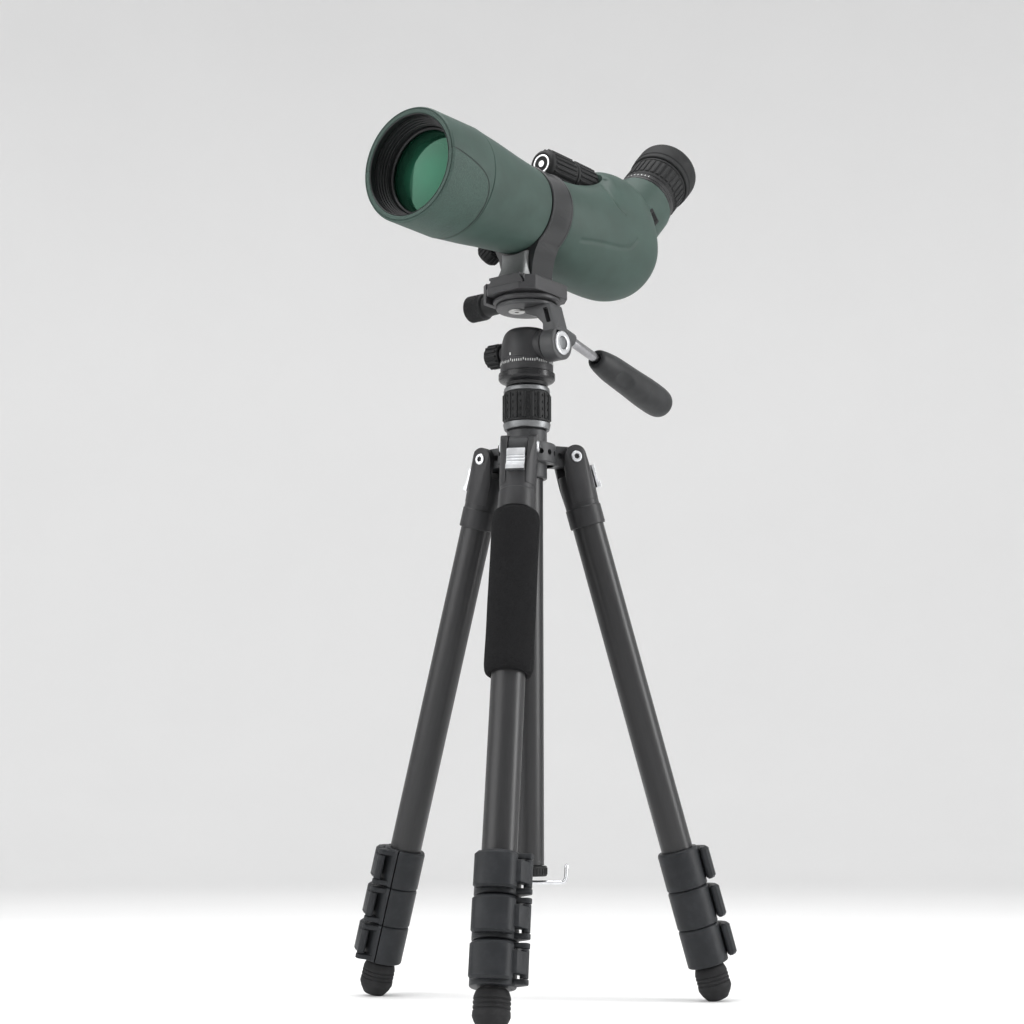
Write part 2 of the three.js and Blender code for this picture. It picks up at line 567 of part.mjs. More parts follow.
// ---------------------------------------------------------------- focus knobs
const raised = (piece) => onOpticalAxis(piece).translate([0, 0, KNOB_HEIGHT]);
addPart('fine_focus_knob', raised(revolve([
  [0, KNOB_FRONT], [9, KNOB_FRONT], [11.8, KNOB_FRONT + 2], [12.8, KNOB_FRONT + 5], [KNOB_RADIUS - 0.3, KNOB_SEAM - 1], [12.2, KNOB_SEAM - 0.2],
  [3, KNOB_SEAM - 0.2], [3, KNOB_REAR + 8], [0, KNOB_REAR + 8]])), 'black_rubber');
addPart('coarse_focus_knob', raised(revolve([
  [3 + GAP, KNOB_SEAM + 0.2], [12.4, KNOB_SEAM + 0.2], [KNOB_RADIUS, KNOB_SEAM + 1.2],
  [KNOB_RADIUS, KNOB_REAR - 3], [12, KNOB_REAR], [3 + GAP, KNOB_REAR]])), 'black_rubber');

// ---------------------------------------------------------------- eyepiece
addPart('eyepiece_body', onEyepieceAxis(revolve([
  [13.6, 54], [16, 54], [16, SEAT], [26, SEAT], [26.2, SEAT + 4.4], [25.2, SEAT + 5.2],
  [25.4, ZOOM_BOTTOM - GAP], [19, ZOOM_BOTTOM - GAP], [19, 116.4], [13.6, 116.4]], LARGE_ROUND)),
'black_anodised');
addPart('zoom_ring', onEyepieceAxis(revolve([
  [19 + GAP, ZOOM_BOTTOM], [24.8, ZOOM_BOTTOM], [25.6, ZOOM_TOP - 1], [25, ZOOM_TOP],
  [19 + GAP, ZOOM_TOP]], LARGE_ROUND)), 'black_rubber');
addPart('eyecup', onEyepieceAxis(revolve([
  [19 + GAP, ZOOM_TOP + GAP], [26.6, ZOOM_TOP + GAP], [27.2, ZOOM_TOP + 2],
  [27.2, EYECUP_TOP - 3], [25.6, EYECUP_TOP], [22, EYECUP_TOP], [20.6, EYECUP_TOP - 3],
  [20.6, 120], [19 + GAP, 118]], LARGE_ROUND)), 'black_rubber');
addPart('eye_lens', onEyepieceAxis(lens(13.2, 109, 113.6, 1.2, 1.8, 20)), 'coated_glass');
addPart('zoom_lens', onEyepieceAxis(lens(13.2, 78, 84, 1, 1, 16)), 'coated_glass');

// ---------------------------------------------------------------- stand the model on the floor
const bounds = new THREE.Box3().setFromObject(group);
const centre = bounds.getCenter(new THREE.Vector3());
for (const node of group.children) {
  node.geometry.translate(-centre.x, -centre.y, -bounds.min.z);
}

export default group;
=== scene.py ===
import json
import math

import bmesh
import bpy
from bpy.props import FloatProperty, FloatVectorProperty, IntProperty, PointerProperty
from mathutils import Matrix, Vector


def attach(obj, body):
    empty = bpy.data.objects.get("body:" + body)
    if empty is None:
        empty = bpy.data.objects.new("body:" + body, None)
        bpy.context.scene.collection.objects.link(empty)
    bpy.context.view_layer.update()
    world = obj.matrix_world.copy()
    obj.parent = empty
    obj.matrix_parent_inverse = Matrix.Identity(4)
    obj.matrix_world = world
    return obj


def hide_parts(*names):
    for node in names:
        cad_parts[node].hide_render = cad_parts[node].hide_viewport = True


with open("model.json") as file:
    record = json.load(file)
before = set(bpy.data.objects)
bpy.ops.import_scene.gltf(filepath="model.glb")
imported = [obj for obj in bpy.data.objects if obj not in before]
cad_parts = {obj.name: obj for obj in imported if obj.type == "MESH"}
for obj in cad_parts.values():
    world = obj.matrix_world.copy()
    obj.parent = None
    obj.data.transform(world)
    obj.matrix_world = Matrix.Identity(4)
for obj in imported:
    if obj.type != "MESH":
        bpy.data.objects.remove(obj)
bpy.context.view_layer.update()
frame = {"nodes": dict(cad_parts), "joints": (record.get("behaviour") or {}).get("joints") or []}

bl_info = {
    "name": "Field Scope Kit",
    "version": (1, 0, 0),
    "blender": (4, 5, 0),
    "location": "View3D > Sidebar > Field Scope",
    "description": "Builds an angled spotting scope on a pan and tilt head and a folding tripod",
    "category": "Add Mesh",
}

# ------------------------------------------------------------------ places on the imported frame
# Every piece is drawn in millimetres in one of these local frames, then settled in the row frame.
MM = 0.001
JOINTS = {joint["name"]: joint for joint in frame["joints"]}
NODES = frame["nodes"]


def turn(axis, degrees):
    return Matrix.Rotation(math.radians(degrees), 4, axis)


def shift(x, y, z):
    return Matrix.Translation((x, y, z))


PAN_RISE = 66            # heights in millimetres above the leg pivots
PAN_LOCK_RISE = 82
TILT_RISE = 83
CLAMP_RISE = 124
AXIS_RISE = 191          # the scope's optical axis
KNOB_RISE = 46.5         # the focus knobs above the optical axis
EYE_START = 109          # where the eyepiece axis leaves the optical axis, along Y
HANDLE_DROP = 12.5       # degrees below level
LEG_LEAN = 16.3          # degrees from upright
PIVOT_OUT = 35           # leg pivots from the column axis
HOOK_TURN = 37.9         # degrees about the column
LEGS = {"front": 208.5, "right": 328.5, "left": 88.5}

PIVOT_LEVEL = Vector(JOINTS["pan"]["pos_m"]) - Vector((0, 0, PAN_RISE * MM))
HOME = Matrix.Translation(PIVOT_LEVEL) @ Matrix.Diagonal((MM, MM, MM, 1))
OPTICS = HOME @ shift(0, 0, AXIS_RISE) @ turn("X", -90)
FOCUS = HOME @ shift(0, 0, AXIS_RISE + KNOB_RISE) @ turn("X", -90)
EYE = HOME @ shift(0, EYE_START, AXIS_RISE) @ turn("X", -45)
ON_COLLAR_SCREW = shift(0, 0, AXIS_RISE) @ turn("Y", -124)
COLLAR_SCREW = HOME @ ON_COLLAR_SCREW @ shift(0, 0, 38.8)
ON_TILT_AXIS = shift(0, 0, TILT_RISE) @ turn("Y", 90)
TILT = HOME @ ON_TILT_AXIS
ON_HANDLE_AXIS = shift(27, 17, 90.5) @ turn("X", -(90 + HANDLE_DROP))
HANDLE = HOME @ ON_HANDLE_AXIS
ON_PAN_LOCK = shift(0, 0, PAN_LOCK_RISE) @ turn("Y", -90)
PAN_LOCK = HOME @ shift(-22.8, 0, PAN_LOCK_RISE) @ turn("Y", -90)
ON_CLAMP_AXIS = shift(0, 0, CLAMP_RISE) @ turn("Y", 90)
CLAMP_SCREW = HOME @ shift(-26.2, 0, CLAMP_RISE) @ turn("Y", -90)
ALONG_Y = turn("X", 90)


def leg_place(side):
    return HOME @ turn("Z", LEGS[side]) @ shift(0, PIVOT_OUT, 0) @ turn("X", LEG_LEAN)


# ------------------------------------------------------------------ shader and geometry wiring
class Wire:
    """A node output that adds Math nodes when it is used in an expression."""

    def __init__(self, tree, socket):
        self.tree = tree
        self.socket = socket

    def math(self, operation, *values, clamp=False):
        node = self.tree.nodes.new("ShaderNodeMath")
        node.operation = operation
        node.use_clamp = clamp
        for place, value in zip(node.inputs, values):
            if isinstance(value, Wire):
                self.tree.links.new(value.socket, place)
            else:
                place.default_value = float(value)
        return Wire(self.tree, node.outputs[0])

    def __add__(self, other):
        return self.math("ADD", self, other)

    __radd__ = __add__

    def __sub__(self, other):
        return self.math("SUBTRACT", self, other)

    def __rsub__(self, other):
        return self.math("SUBTRACT", other, self)

    def __mul__(self, other):
        return self.math("MULTIPLY", self, other)

    __rmul__ = __mul__

    def __truediv__(self, other):
        return self.math("DIVIDE", self, other)

    def __rtruediv__(self, other):
        return self.math("DIVIDE", other, self)

    def __pow__(self, other):
        return self.math("POWER", self, other)

    def __mod__(self, other):
        return self.math("FLOORED_MODULO", self, other)

    def __lt__(self, other):
        return self.math("LESS_THAN", self, other)

    def __gt__(self, other):
        return self.math("GREATER_THAN", self, other)

    def __abs__(self):
        return self.math("ABSOLUTE", self)

    def least(self, other):
        return self.math("MINIMUM", self, other)

    def most(self, other):
        return self.math("MAXIMUM", self, other)

    def floor(self):
        return self.math("FLOOR", self)

    def root(self):
        return self.math("SQRT", self)

    def rise(self, low, high):
        """0 below low, 1 above high, with a soft step between them."""
        t = self.math("MULTIPLY", self - low, 1 / (high - low), clamp=True)
        return t * t * (3 - 2 * t)

    def band(self, centre, width, soft):
        """1 within width of centre, falling to 0 over soft."""
        return 1 - abs(self - centre).rise(width / 2, width / 2 + soft)


class Wiring:
    """Adds any node to one tree from its type, its settings and its sockets."""

    def __init__(self, tree):
        self.tree = tree

    def add(self, kind, settings=None, sockets=None, output=0):
        node = self.tree.nodes.new(kind)
        for key, value in (settings or {}).items():
            if key == "stops":
                ramp = node.color_ramp
                for extra in value[2:]:
                    ramp.elements.new(extra[0])
                for element, (position, colour) in zip(ramp.elements, value):
                    element.position = position
                    element.color = colour
            else:
                setattr(node, key, value)
        for key, value in (sockets or {}).items():
            place = node.inputs[key]
            if isinstance(value, Wire):
                self.tree.links.new(value.socket, place)
            else:
                place.default_value = value
        return Wire(self.tree, node.outputs[output])


class Finish(Wiring):
    """A material for one finish, with its Principled shader and the few links it takes."""

    def __init__(self, name, slot_name, **constants):
        self.material = bpy.data.materials.new(name)
        self.material.use_nodes = True
        super().__init__(self.material.node_tree)
        self.slot_name = slot_name
        self.shader = self.tree.nodes["Principled BSDF"]
        for key, value in constants.items():
            self.shader.inputs[key.replace("_", " ")].default_value = value

    def feed(self, socket, wire):
        self.tree.links.new(wire.socket, self.shader.inputs[socket])

    def local(self, place):
        """Object coordinates turned into millimetres in a piece's own local frame."""
        spot, spin, size = place.decompose()
        source = self.add("ShaderNodeTexCoord", output=3)
        return self.add(
            "ShaderNodeMapping",
            {"vector_type": "TEXTURE"},
            {"Vector": source, "Location": spot, "Rotation": spin.to_euler(), "Scale": size},
        )

    def split(self, vector):
        node = self.tree.nodes.new("ShaderNodeSeparateXYZ")
        self.tree.links.new(vector.socket, node.inputs[0])
        return [Wire(self.tree, out) for out in node.outputs]

    def noise(self, vector, per_mm, detail=3.0, roughness=0.55):
        return self.add(
            "ShaderNodeTexNoise",
            None,
            {"Vector": vector, "Scale": per_mm, "Detail": detail, "Roughness": roughness},
        )

    def blend(self, factor, first, second):
        return self.add(
            "ShaderNodeMix",
            {"data_type": "RGBA"},
            {0: factor, 6: first, 7: second},
            output=2,
        )

    def bump(self, height, depth_mm, strength=1.0):
        self.feed("Normal", self.add(
            "ShaderNodeBump", None,
            {"Height": height, "Distance": depth_mm * MM, "Strength": strength}))


def rgba(colour, gain=1.0):
    return (*[min(1.0, c * gain) for c in colour[:3]], 1.0)


# ------------------------------------------------------------------ finishes
def armour(name, place, look, mask=None, marks=None, pitch=0.9):
    """Moulded rubber armour. mask marks a coarser grained field and marks the sculpted lines, which
    are pressed in by bump and darkened as painted shade.
    """
    finish = Finish(name, "armour", IOR=1.45, Specular_IOR_Level=0.3)
    at = finish.local(place)
    grain = finish.noise(at, 2.6, 2, 0.5)
    patches = finish.noise(at, 0.045, 3, 0.6)
    colour = finish.blend(patches.rise(0.25, 0.78), rgba(look.armour_colour, 0.86),
                          rgba(look.armour_colour, 1.12))
    height = grain * 0.22
    roughness = 0.47 + patches * 0.12
    if mask is not None:
        field = mask(finish, at)
        pebble = finish.add("ShaderNodeTexVoronoi", {"feature": "SMOOTH_F1"},
                            {"Vector": at, "Scale": pitch, "Smoothness": 0.6})
        speck = finish.noise(at, 1.15, 4, 0.7)
        colour = finish.blend(field * speck.rise(0.4, 0.7) * 0.6, colour,
                              rgba(look.armour_colour, 1.75))
        height = height + field * ((1 - pebble) * 1.3 + speck * 1.1)
        roughness = roughness + field * 0.05
    if marks is not None:
        line = marks(finish, at)
        # painted shade: the sculpted groove is drawn near black, the shade that falls in the groove,
        # as well as pressed in by bump
        colour = finish.blend(line * 0.85, colour, rgba(look.armour_colour, 0.18))
        height = height - line * 2.4
    finish.feed("Base Color", colour)
    finish.feed("Roughness", roughness)
    finish.bump(height, 0.16)
    return finish


def satin_black(name, place, colour, slot_name="black_anodised", metallic=0.0, roughness=0.3):
    """Black anodised aluminium with a fine drawn grain along the local Z axis."""
    finish = Finish(name, slot_name, Metallic=metallic, Specular_IOR_Level=0.42)
    at = finish.local(place)
    x, y, z = finish.split(at)
    stretched = finish.add("ShaderNodeCombineXYZ", None, {0: x * 3, 1: y * 3, 2: z * 0.08})
    drawn = finish.noise(stretched, 1.0, 3, 0.6)
    cloud = finish.noise(at, 0.03, 3, 0.55)
    finish.feed("Base Color", finish.blend(drawn.rise(0.2, 0.85), rgba(colour, 0.78),
                                           rgba(colour, 1.22)))
    finish.feed("Roughness", roughness - 0.05 + drawn * 0.07 + cloud * 0.09)
    finish.bump(drawn, 0.012)
    return finish


def turned_black(name, place, colour, roughness=0.28):
    """Black anodised pieces cut on a lathe, with rings around the local Z axis."""
    finish = Finish(name, "black_anodised", Specular_IOR_Level=0.34)
    at = finish.local(place)
    x, y, z = finish.split(at)
    radius = (x * x + y * y).root()
    rings = finish.add("ShaderNodeCombineXYZ", None, {0: radius * 6, 1: 0.0, 2: z * 6})
    cut = finish.noise(rings, 0.6, 2, 0.4)
    cloud = finish.noise(at, 0.05, 3, 0.55)
    finish.feed("Base Color", finish.blend(cut.rise(0.2, 0.85), rgba(colour, 0.8),
                                           rgba(colour, 1.2)))
    finish.feed("Roughness", roughness + cut * 0.08 + cloud * 0.08)
    finish.bump(cut, 0.006)
    return finish


def powder_coat(name, place, colour, roughness=0.5, slot_name="black_casting"):
    """Powder coated die casting with a light orange peel."""
    finish = Finish(name, slot_name, Metallic=0.0, Specular_IOR_Level=0.34)
    at = finish.local(place)
    peel = finish.noise(at, 1.7, 3, 0.6)
    cloud = finish.noise(at, 0.06, 3, 0.55)
    finish.feed("Base Color", finish.blend(cloud.rise(0.25, 0.75), rgba(colour, 0.85),
                                           rgba(colour, 1.15)))
    finish.feed("Roughness", roughness - 0.06 + peel * 0.06 + cloud * 0.1)
    finish.bump(peel, 0.06)
    return finish


def moulded_rubber(name, place, colour, roughness=0.62):
    """Black rubber and plastic mouldings with a spark-eroded texture."""
    finish = Finish(name, "black_rubber", Specular_IOR_Level=0.22)
    at = finish.local(place)
    spark = finish.noise(at, 3.2, 3, 0.65)
    dust = finish.noise(at, 0.11, 4, 0.6)
    finish.feed("Base Color", finish.blend(dust.rise(0.35, 0.8), rgba(colour, 0.85),
                                           rgba(colour, 1.3)))
    finish.feed("Roughness", roughness - 0.05 + spark * 0.08 + dust * 0.08)
    finish.bump(spark, 0.07)
    return finish


def bright_metal(name, place, colour, roughness=0.2, slot_name="brushed_steel", rings=True):
    """Bare or plated metal. Lathe rings go around the local Z axis, or a grain runs along it."""
    finish = Finish(name, slot_name, Metallic=1.0)
    at = finish.local(place)
    x, y, z = finish.split(at)
    across = (x * x + y * y).root() * 7 if rings else x * 6
    along = z * 7 if rings else z * 0.4
    side = 0.0 if rings else y * 6
    cut = finish.noise(
        finish.add("ShaderNodeCombineXYZ", None, {0: across, 1: side, 2: along}), 1.0, 2, 0.5)
    cloud = finish.noise(at, 0.12, 3, 0.5)
    finish.feed("Base Color", finish.blend(cloud.rise(0.3, 0.75), rgba(colour, 0.82),
                                           rgba(colour, 1.08)))
    finish.feed("Roughness", roughness + cut * 0.1 + cloud * 0.06)
    finish.bump(cut, 0.01)
    return finish


def foam_rubber(name, place, colour):
    """Closed-cell foam: small open pits over a soft uneven skin, painted darker where the bumped
    surface sinks, a painted shade that is deepest in the pits.
    """
    finish = Finish(name, "foam", Specular_IOR_Level=0.08)
    at = finish.local(place)
    cells = finish.add("ShaderNodeTexVoronoi", {"feature": "F1"}, {"Vector": at, "Scale": 1.05})
    small = finish.noise(at, 1.9, 4, 0.75)
    worn = finish.noise(at, 0.07, 4, 0.6)
    pits_and_painted_shade = cells.rise(0.05, 0.5)
    # painted shade: the colour follows the bump height, darker in the pits and low spots and lighter
    # on the raised skin
    finish.feed("Base Color", finish.blend(
        (pits_and_painted_shade * 0.5 + small * 0.5).rise(0.25, 0.8), rgba(colour, 0.7), rgba(colour, 1.45)))
    finish.feed("Roughness", 0.9 + worn * 0.1)
    finish.bump(pits_and_painted_shade * 0.6 + small * 0.9, 0.5)
    return finish


def plain_paint(name, place, colour, roughness=0.5, slot_name="black_plastic"):
    """Small printed marks and inlays, slightly uneven like a pad print."""
    finish = Finish(name, slot_name)
    at = finish.local(place)
    uneven = finish.noise(at, 1.3, 3, 0.6)
    finish.feed("Base Color", finish.blend(uneven, rgba(colour, 0.88), rgba(colour, 1.06)))
    finish.feed("Roughness", roughness + uneven * 0.1)
    return finish


def optical_glass(name, place, colour, depth=0.12):
    """Coated glass: a dark body with a tinted mirror-like skin and faint patches in its coat; the
    body colour is painted brighter green towards the centre as a painted inner reflection.
    """
    finish = Finish(name, "coated_glass", Roughness=0.03, Specular_IOR_Level=0.6, IOR=1.6,
                    Coat_IOR=1.6, Coat_Roughness=0.02)
    finish.shader.inputs["Specular Tint"].default_value = rgba(colour, 1.0)
    finish.shader.inputs["Coat Tint"].default_value = (1.0, 1.0, 1.0, 1.0)
    at = finish.local(place)
    x, y = finish.split(at)[:2]
    radius = (x * x + y * y).root()
    coat_patches_and_painted_glow = finish.noise(at, 0.05, 2, 0.5)
    # painted reflection: brighter green at the centre, fading darker to the rim with soft cloudy
    # patches, in place of light thrown back from inside the lens; depth sets how bright it is
    finish.feed("Base Color", finish.blend(
        (radius / 34 + coat_patches_and_painted_glow * 0.3).rise(0.2, 1.1), rgba(colour, depth), rgba(colour, depth * 0.2)))
    finish.feed("Coat Weight", 0.08 + coat_patches_and_painted_glow * 0.08)
    return finish


# ------------------------------------------------------------------ mesh making
def rounded(profile, radius, steps=3, closed=True):
    """Round the corners of a profile. Corners on the axis stay sharp."""
    if radius <= 0:
        return [Vector(p) for p in profile]
    points = [Vector(p) for p in profile]
    total = len(points)
    result = []
    for i, corner in enumerate(points):
        at_end = not closed and i in (0, total - 1)
        if at_end or corner[0] < 1e-6:
            result.append(corner)
            continue
        before = points[i - 1] - corner
        after = points[(i + 1) % total] - corner
        reach = min(radius, 0.42 * before.length, 0.42 * after.length)
        first = corner + before.normalized() * reach
        last = corner + after.normalized() * reach
        for k in range(steps + 1):
            t = k / steps
            result.append(first * (1 - t) ** 2 + corner * (2 * t * (1 - t)) + last * t ** 2)
    return result


def curve_through(points, count):
    """A smooth run of points through a few stations, for tapers and grips."""
    stations = [Vector(p) for p in points]
    ends = [stations[0] * 2 - stations[1], *stations, stations[-1] * 2 - stations[-2]]
    result = []
    spans = len(stations) - 1
    for i in range(count + 1):
        place = min(i / count * spans, spans - 1e-6)
        k = int(place)
        t = place - k
        a, b, c, d = ends[k:k + 4]
        result.append(0.5 * ((2 * b) + (c - a) * t + (2 * a - 5 * b + 4 * c - d) * t ** 2
                             + (3 * b - a - 3 * c + d) * t ** 3))
    return result


def new_object(name, verts, faces):
    mesh = bpy.data.meshes.new(name)
    mesh.from_pydata([tuple(v) for v in verts], [], faces)
    mesh.update()
    obj = bpy.data.objects.new(name, mesh)
    bpy.context.scene.collection.objects.link(obj)
    return obj


def outward(obj):
    """Merge doubles and point every face out."""
    work = bmesh.new()
    work.from_mesh(obj.data)
    bmesh.ops.remove_doubles(work, verts=work.verts, dist=1e-5)
    bmesh.ops.dissolve_degenerate(work, edges=work.edges, dist=1e-6)
    bmesh.ops.recalc_face_normals(work, faces=work.faces)
    work.to_mesh(obj.data)
    work.free()
    return obj


def turned(name, profile, radius=0.4, segments=96, steps=3):
    """A solid of revolution about local Z from a profile of (radius, height)."""
    on_axis = profile[0][0] == 0
    points = rounded(profile, radius, steps, closed=not on_axis)
    verts, rows = [], []
    for r, z in points:
        if r < 1e-6:
            rows.append([len(verts)] * segments)
            verts.append((0, 0, z))
            continue
        rows.append(list(range(len(verts), len(verts) + segments)))
        for i in range(segments):
            a = 2 * math.pi * i / segments
            verts.append((r * math.cos(a), r * math.sin(a), z))
    faces = []
    pairs = list(zip(rows, rows[1:]))
    if not on_axis:
        pairs.append((rows[-1], rows[0]))
    for low, high in pairs:
        for i in range(segments):
            j = (i + 1) % segments
            ring = [low[i], low[j], high[j], high[i]]
            unique = list(dict.fromkeys(ring))
            if len(unique) > 2:
                faces.append(unique)
    return outward(new_object(name, verts, faces))


def rod(name, radius, low, high, rounding=0, segments=32):
    """A plain round bar about local Z, for pins, bores and drilled holes."""
    return turned(name, [(0, low), (radius, low), (radius, high), (0, high)], rounding, segments)


def pushed(name, outline, low, high):
    """A flat outline of (x, y) points pushed up from low to high along local Z."""
    count = len(outline)
    verts = [(x, y, low) for x, y in outline] + [(x, y, high) for x, y in outline]
    faces = [list(range(count))[::-1], [i + count for i in range(count)]]
    faces += [[i, (i + 1) % count, (i + 1) % count + count, i + count] for i in range(count)]
    return outward(new_object(name, verts, faces))


def stacked(name, levels):
    """Skin outlines of equal point count that lie at rising heights, and close both ends."""
    count = len(levels[0][1])
    verts = [(x, y, z) for z, outline in levels for x, y in outline]
    faces = [list(range(count)), [len(verts) - count + i for i in range(count)]]
    for row in range(len(levels) - 1):
        for i in range(count):
            j = (i + 1) % count
            a, b = row * count, (row + 1) * count
            faces.append([a + i, a + j, b + j, b + i])
    return outward(new_object(name, verts, faces))


def brick(name, x0, x1, y0, y1, z0, z1):
    return pushed(name, [(x0, y0), (x1, y0), (x1, y1), (x0, y1)], z0, z1)


def arc(cx, cy, radius, start, stop, count):
    """Points along an arc, in degrees."""
    angles = [math.radians(start + (stop - start) * i / count) for i in range(count + 1)]
    return [(cx + radius * math.cos(a), cy + radius * math.sin(a)) for a in angles]


def moved(obj, place):
    obj.data.transform(place)
    if place.determinant() < 0:
        obj.data.flip_normals()
    return obj


def baked(obj):
    """Turn an object's live modifiers into its mesh."""
    bpy.context.view_layer.update()
    depsgraph = bpy.context.evaluated_depsgraph_get()
    mesh = bpy.data.meshes.new_from_object(obj.evaluated_get(depsgraph))
    old = obj.data
    obj.modifiers.clear()
    obj.data = mesh
    bpy.data.meshes.remove(old)
    return obj


def combined(obj, other, operation):
    modifier = obj.modifiers.new("carve", "BOOLEAN")
    modifier.operation = operation
    modifier.solver = "EXACT"
    modifier.object = other
    baked(obj)
    bpy.data.objects.remove(other)
    return obj


def carved(obj, *cutters):
    for cutter in cutters:
        combined(obj, cutter, "DIFFERENCE")
    return obj


def fused(obj, *others):
    for other in others:
        combined(obj, other, "UNION")
    return obj


def bevelled(obj, width, segments=3, angle=32):
    modifier = obj.modifiers.new("edges", "BEVEL")
    modifier.width = width
    modifier.segments = segments
    modifier.limit_method = "ANGLE"
    modifier.angle_limit = math.radians(angle)
    modifier.use_clamp_overlap = True
    modifier.harden_normals = False
    return baked(obj)


def joined(name, parts):
    """Gather separate closed pieces of one body and one finish into a single object."""
    work = bmesh.new()
    for part in parts:
        work.from_mesh(part.data)
        bpy.data.objects.remove(part)
    mesh = bpy.data.meshes.new(name)
    work.to_mesh(mesh)
    work.free()
    obj = bpy.data.objects.new(name, mesh)
    bpy.context.scene.collection.objects.link(obj)
    return obj


def settle(obj, name, place, finish, body, replaces=(), crease=34, flat=False):
    """Put a finished piece in the row frame, give it its finish and let it ride its body."""
    moved(obj, place)
    obj.name = name
    obj.data.name = name
    obj.data.materials.clear()
    obj.data.materials.append(finish.material)
    for face in obj.data.polygons:
        face.use_smooth = True
        face.material_index = 0
    obj.data.set_sharp_from_angle(angle=math.radians(crease))
    if flat:
        weights = obj.modifiers.new("even faces", "WEIGHTED_NORMAL")
        weights.keep_sharp = True
        weights.weight = 80
        baked(obj)
    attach(obj, body)
    if replaces:
        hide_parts(*replaces)
    return obj


# ------------------------------------------------------------------ repeated details
class Repeater:
    """One geometry tree that copies a unit around local Z, in rows, with longer major marks."""

    INPUTS = (
        ("Around", "NodeSocketInt", 12),
        ("Rows", "NodeSocketInt", 1),
        ("Step", "NodeSocketFloat", 0.5),
        ("Start", "NodeSocketFloat", 0.0),
        ("Row Rise", "NodeSocketFloat", 1.0),
        ("Row Turn", "NodeSocketFloat", 0.0),
        ("Major Every", "NodeSocketInt", 0),
        ("Major Size", "NodeSocketFloat", 1.0),
    )

    def __init__(self):
        self.tree = bpy.data.node_groups.new("Repeat Around Axis", "GeometryNodeTree")
        self.sockets = {}
        face = self.tree.interface
        unit = face.new_socket("Unit", in_out="INPUT", socket_type="NodeSocketGeometry")
        for name, kind, value in self.INPUTS:
            socket = face.new_socket(name, in_out="INPUT", socket_type=kind)
            socket.default_value = value
            self.sockets[name] = socket.identifier
        coat = face.new_socket("Finish", in_out="INPUT", socket_type="NodeSocketMaterial")
        self.sockets["Finish"] = coat.identifier
        face.new_socket("Copies", in_out="OUTPUT", socket_type="NodeSocketGeometry")
        self.unit = unit.identifier
        self.wire_up()

    def wire_up(self):
        wiring = Wiring(self.tree)
        entry = self.tree.nodes.new("NodeGroupInput")
        given = {out.name: Wire(self.tree, out) for out in entry.outputs if out.name}
        points = wiring.add("GeometryNodePoints", None,
                            {"Count": given["Around"] * given["Rows"]})
        index = wiring.add("GeometryNodeInputIndex")
        place = index % given["Around"]
        row = (index / given["Around"] + 0.0001).floor()
        angle = given["Start"] + place * given["Step"] + row * given["Row Turn"]
        major = (place % given["Major Every"].most(1)) < 0.5
        major = major * (given["Major Every"] > 0.5)
        stretch = 1 + major * (given["Major Size"] - 1)
        turned_by = wiring.add("ShaderNodeCombineXYZ", None, {2: angle})
        lifted_by = wiring.add("ShaderNodeCombineXYZ", None, {2: row * given["Row Rise"]})
        size = wiring.add("ShaderNodeCombineXYZ", None, {0: 1.0, 1: 1.0, 2: stretch})
        placed = wiring.add("GeometryNodeSetPosition", None,
                            {"Geometry": points, "Position": lifted_by})
        copies = wiring.add("GeometryNodeInstanceOnPoints", None, {
            "Points": placed, "Instance": given["Unit"], "Rotation": turned_by, "Scale": size})
        real = wiring.add("GeometryNodeRealizeInstances", None, {"Geometry": copies})
        done = wiring.add("GeometryNodeSetMaterial", None,
                          {"Geometry": real, "Material": given["Finish"]})
        leave = self.tree.nodes.new("NodeGroupOutput")
        self.tree.links.new(done.socket, leave.inputs[0])

    def copies(self, unit, finish, around, step=None, **inputs):
        """Repeat unit and return the plain mesh object of all the copies."""
        modifier = unit.modifiers.new("repeat", "NODES")
        modifier.node_group = self.tree
        spread = 360 / around if step is None else step
        values = {"Around": around, "Step": math.radians(spread), "Finish": finish.material}
        for key, value in inputs.items():
            values[key.replace("_", " ").title()] = value
        for key in ("Start", "Row Turn"):
            if key in values:
                values[key] = math.radians(values[key])
        for key, value in values.items():
            modifier[self.sockets[key]] = value
        return baked(unit)


_shared = {}


def shared(key, make):
    """Make something once and hand out the same one afterwards."""
    if key not in _shared:
        _shared[key] = make()
    return _shared[key]


def repeater():
    return shared("repeater", Repeater)


def rib(width, low_radius, high_radius, low, high, taper=0.7, round_off=0.25):
    """One raised rib standing on a round body, at angle 0 about local Z."""
    half = width / 2
    top = half * taper
    outline = [(low_radius, -half), (high_radius - round_off, -top - 0.05),
               (high_radius, -top * 0.55), (high_radius, top * 0.55),
               (high_radius - round_off, top + 0.05), (low_radius, half)]
    unit = pushed("rib", outline, low, high)
    for vert in unit.data.vertices:
        if vert.co.x > (low_radius + high_radius) / 2:
            middle = (low + high) / 2
            vert.co.z = middle + (vert.co.z - middle) * (1 - 1.4 * (high_radius - low_radius)
                                                         / (high - low))
    return unit


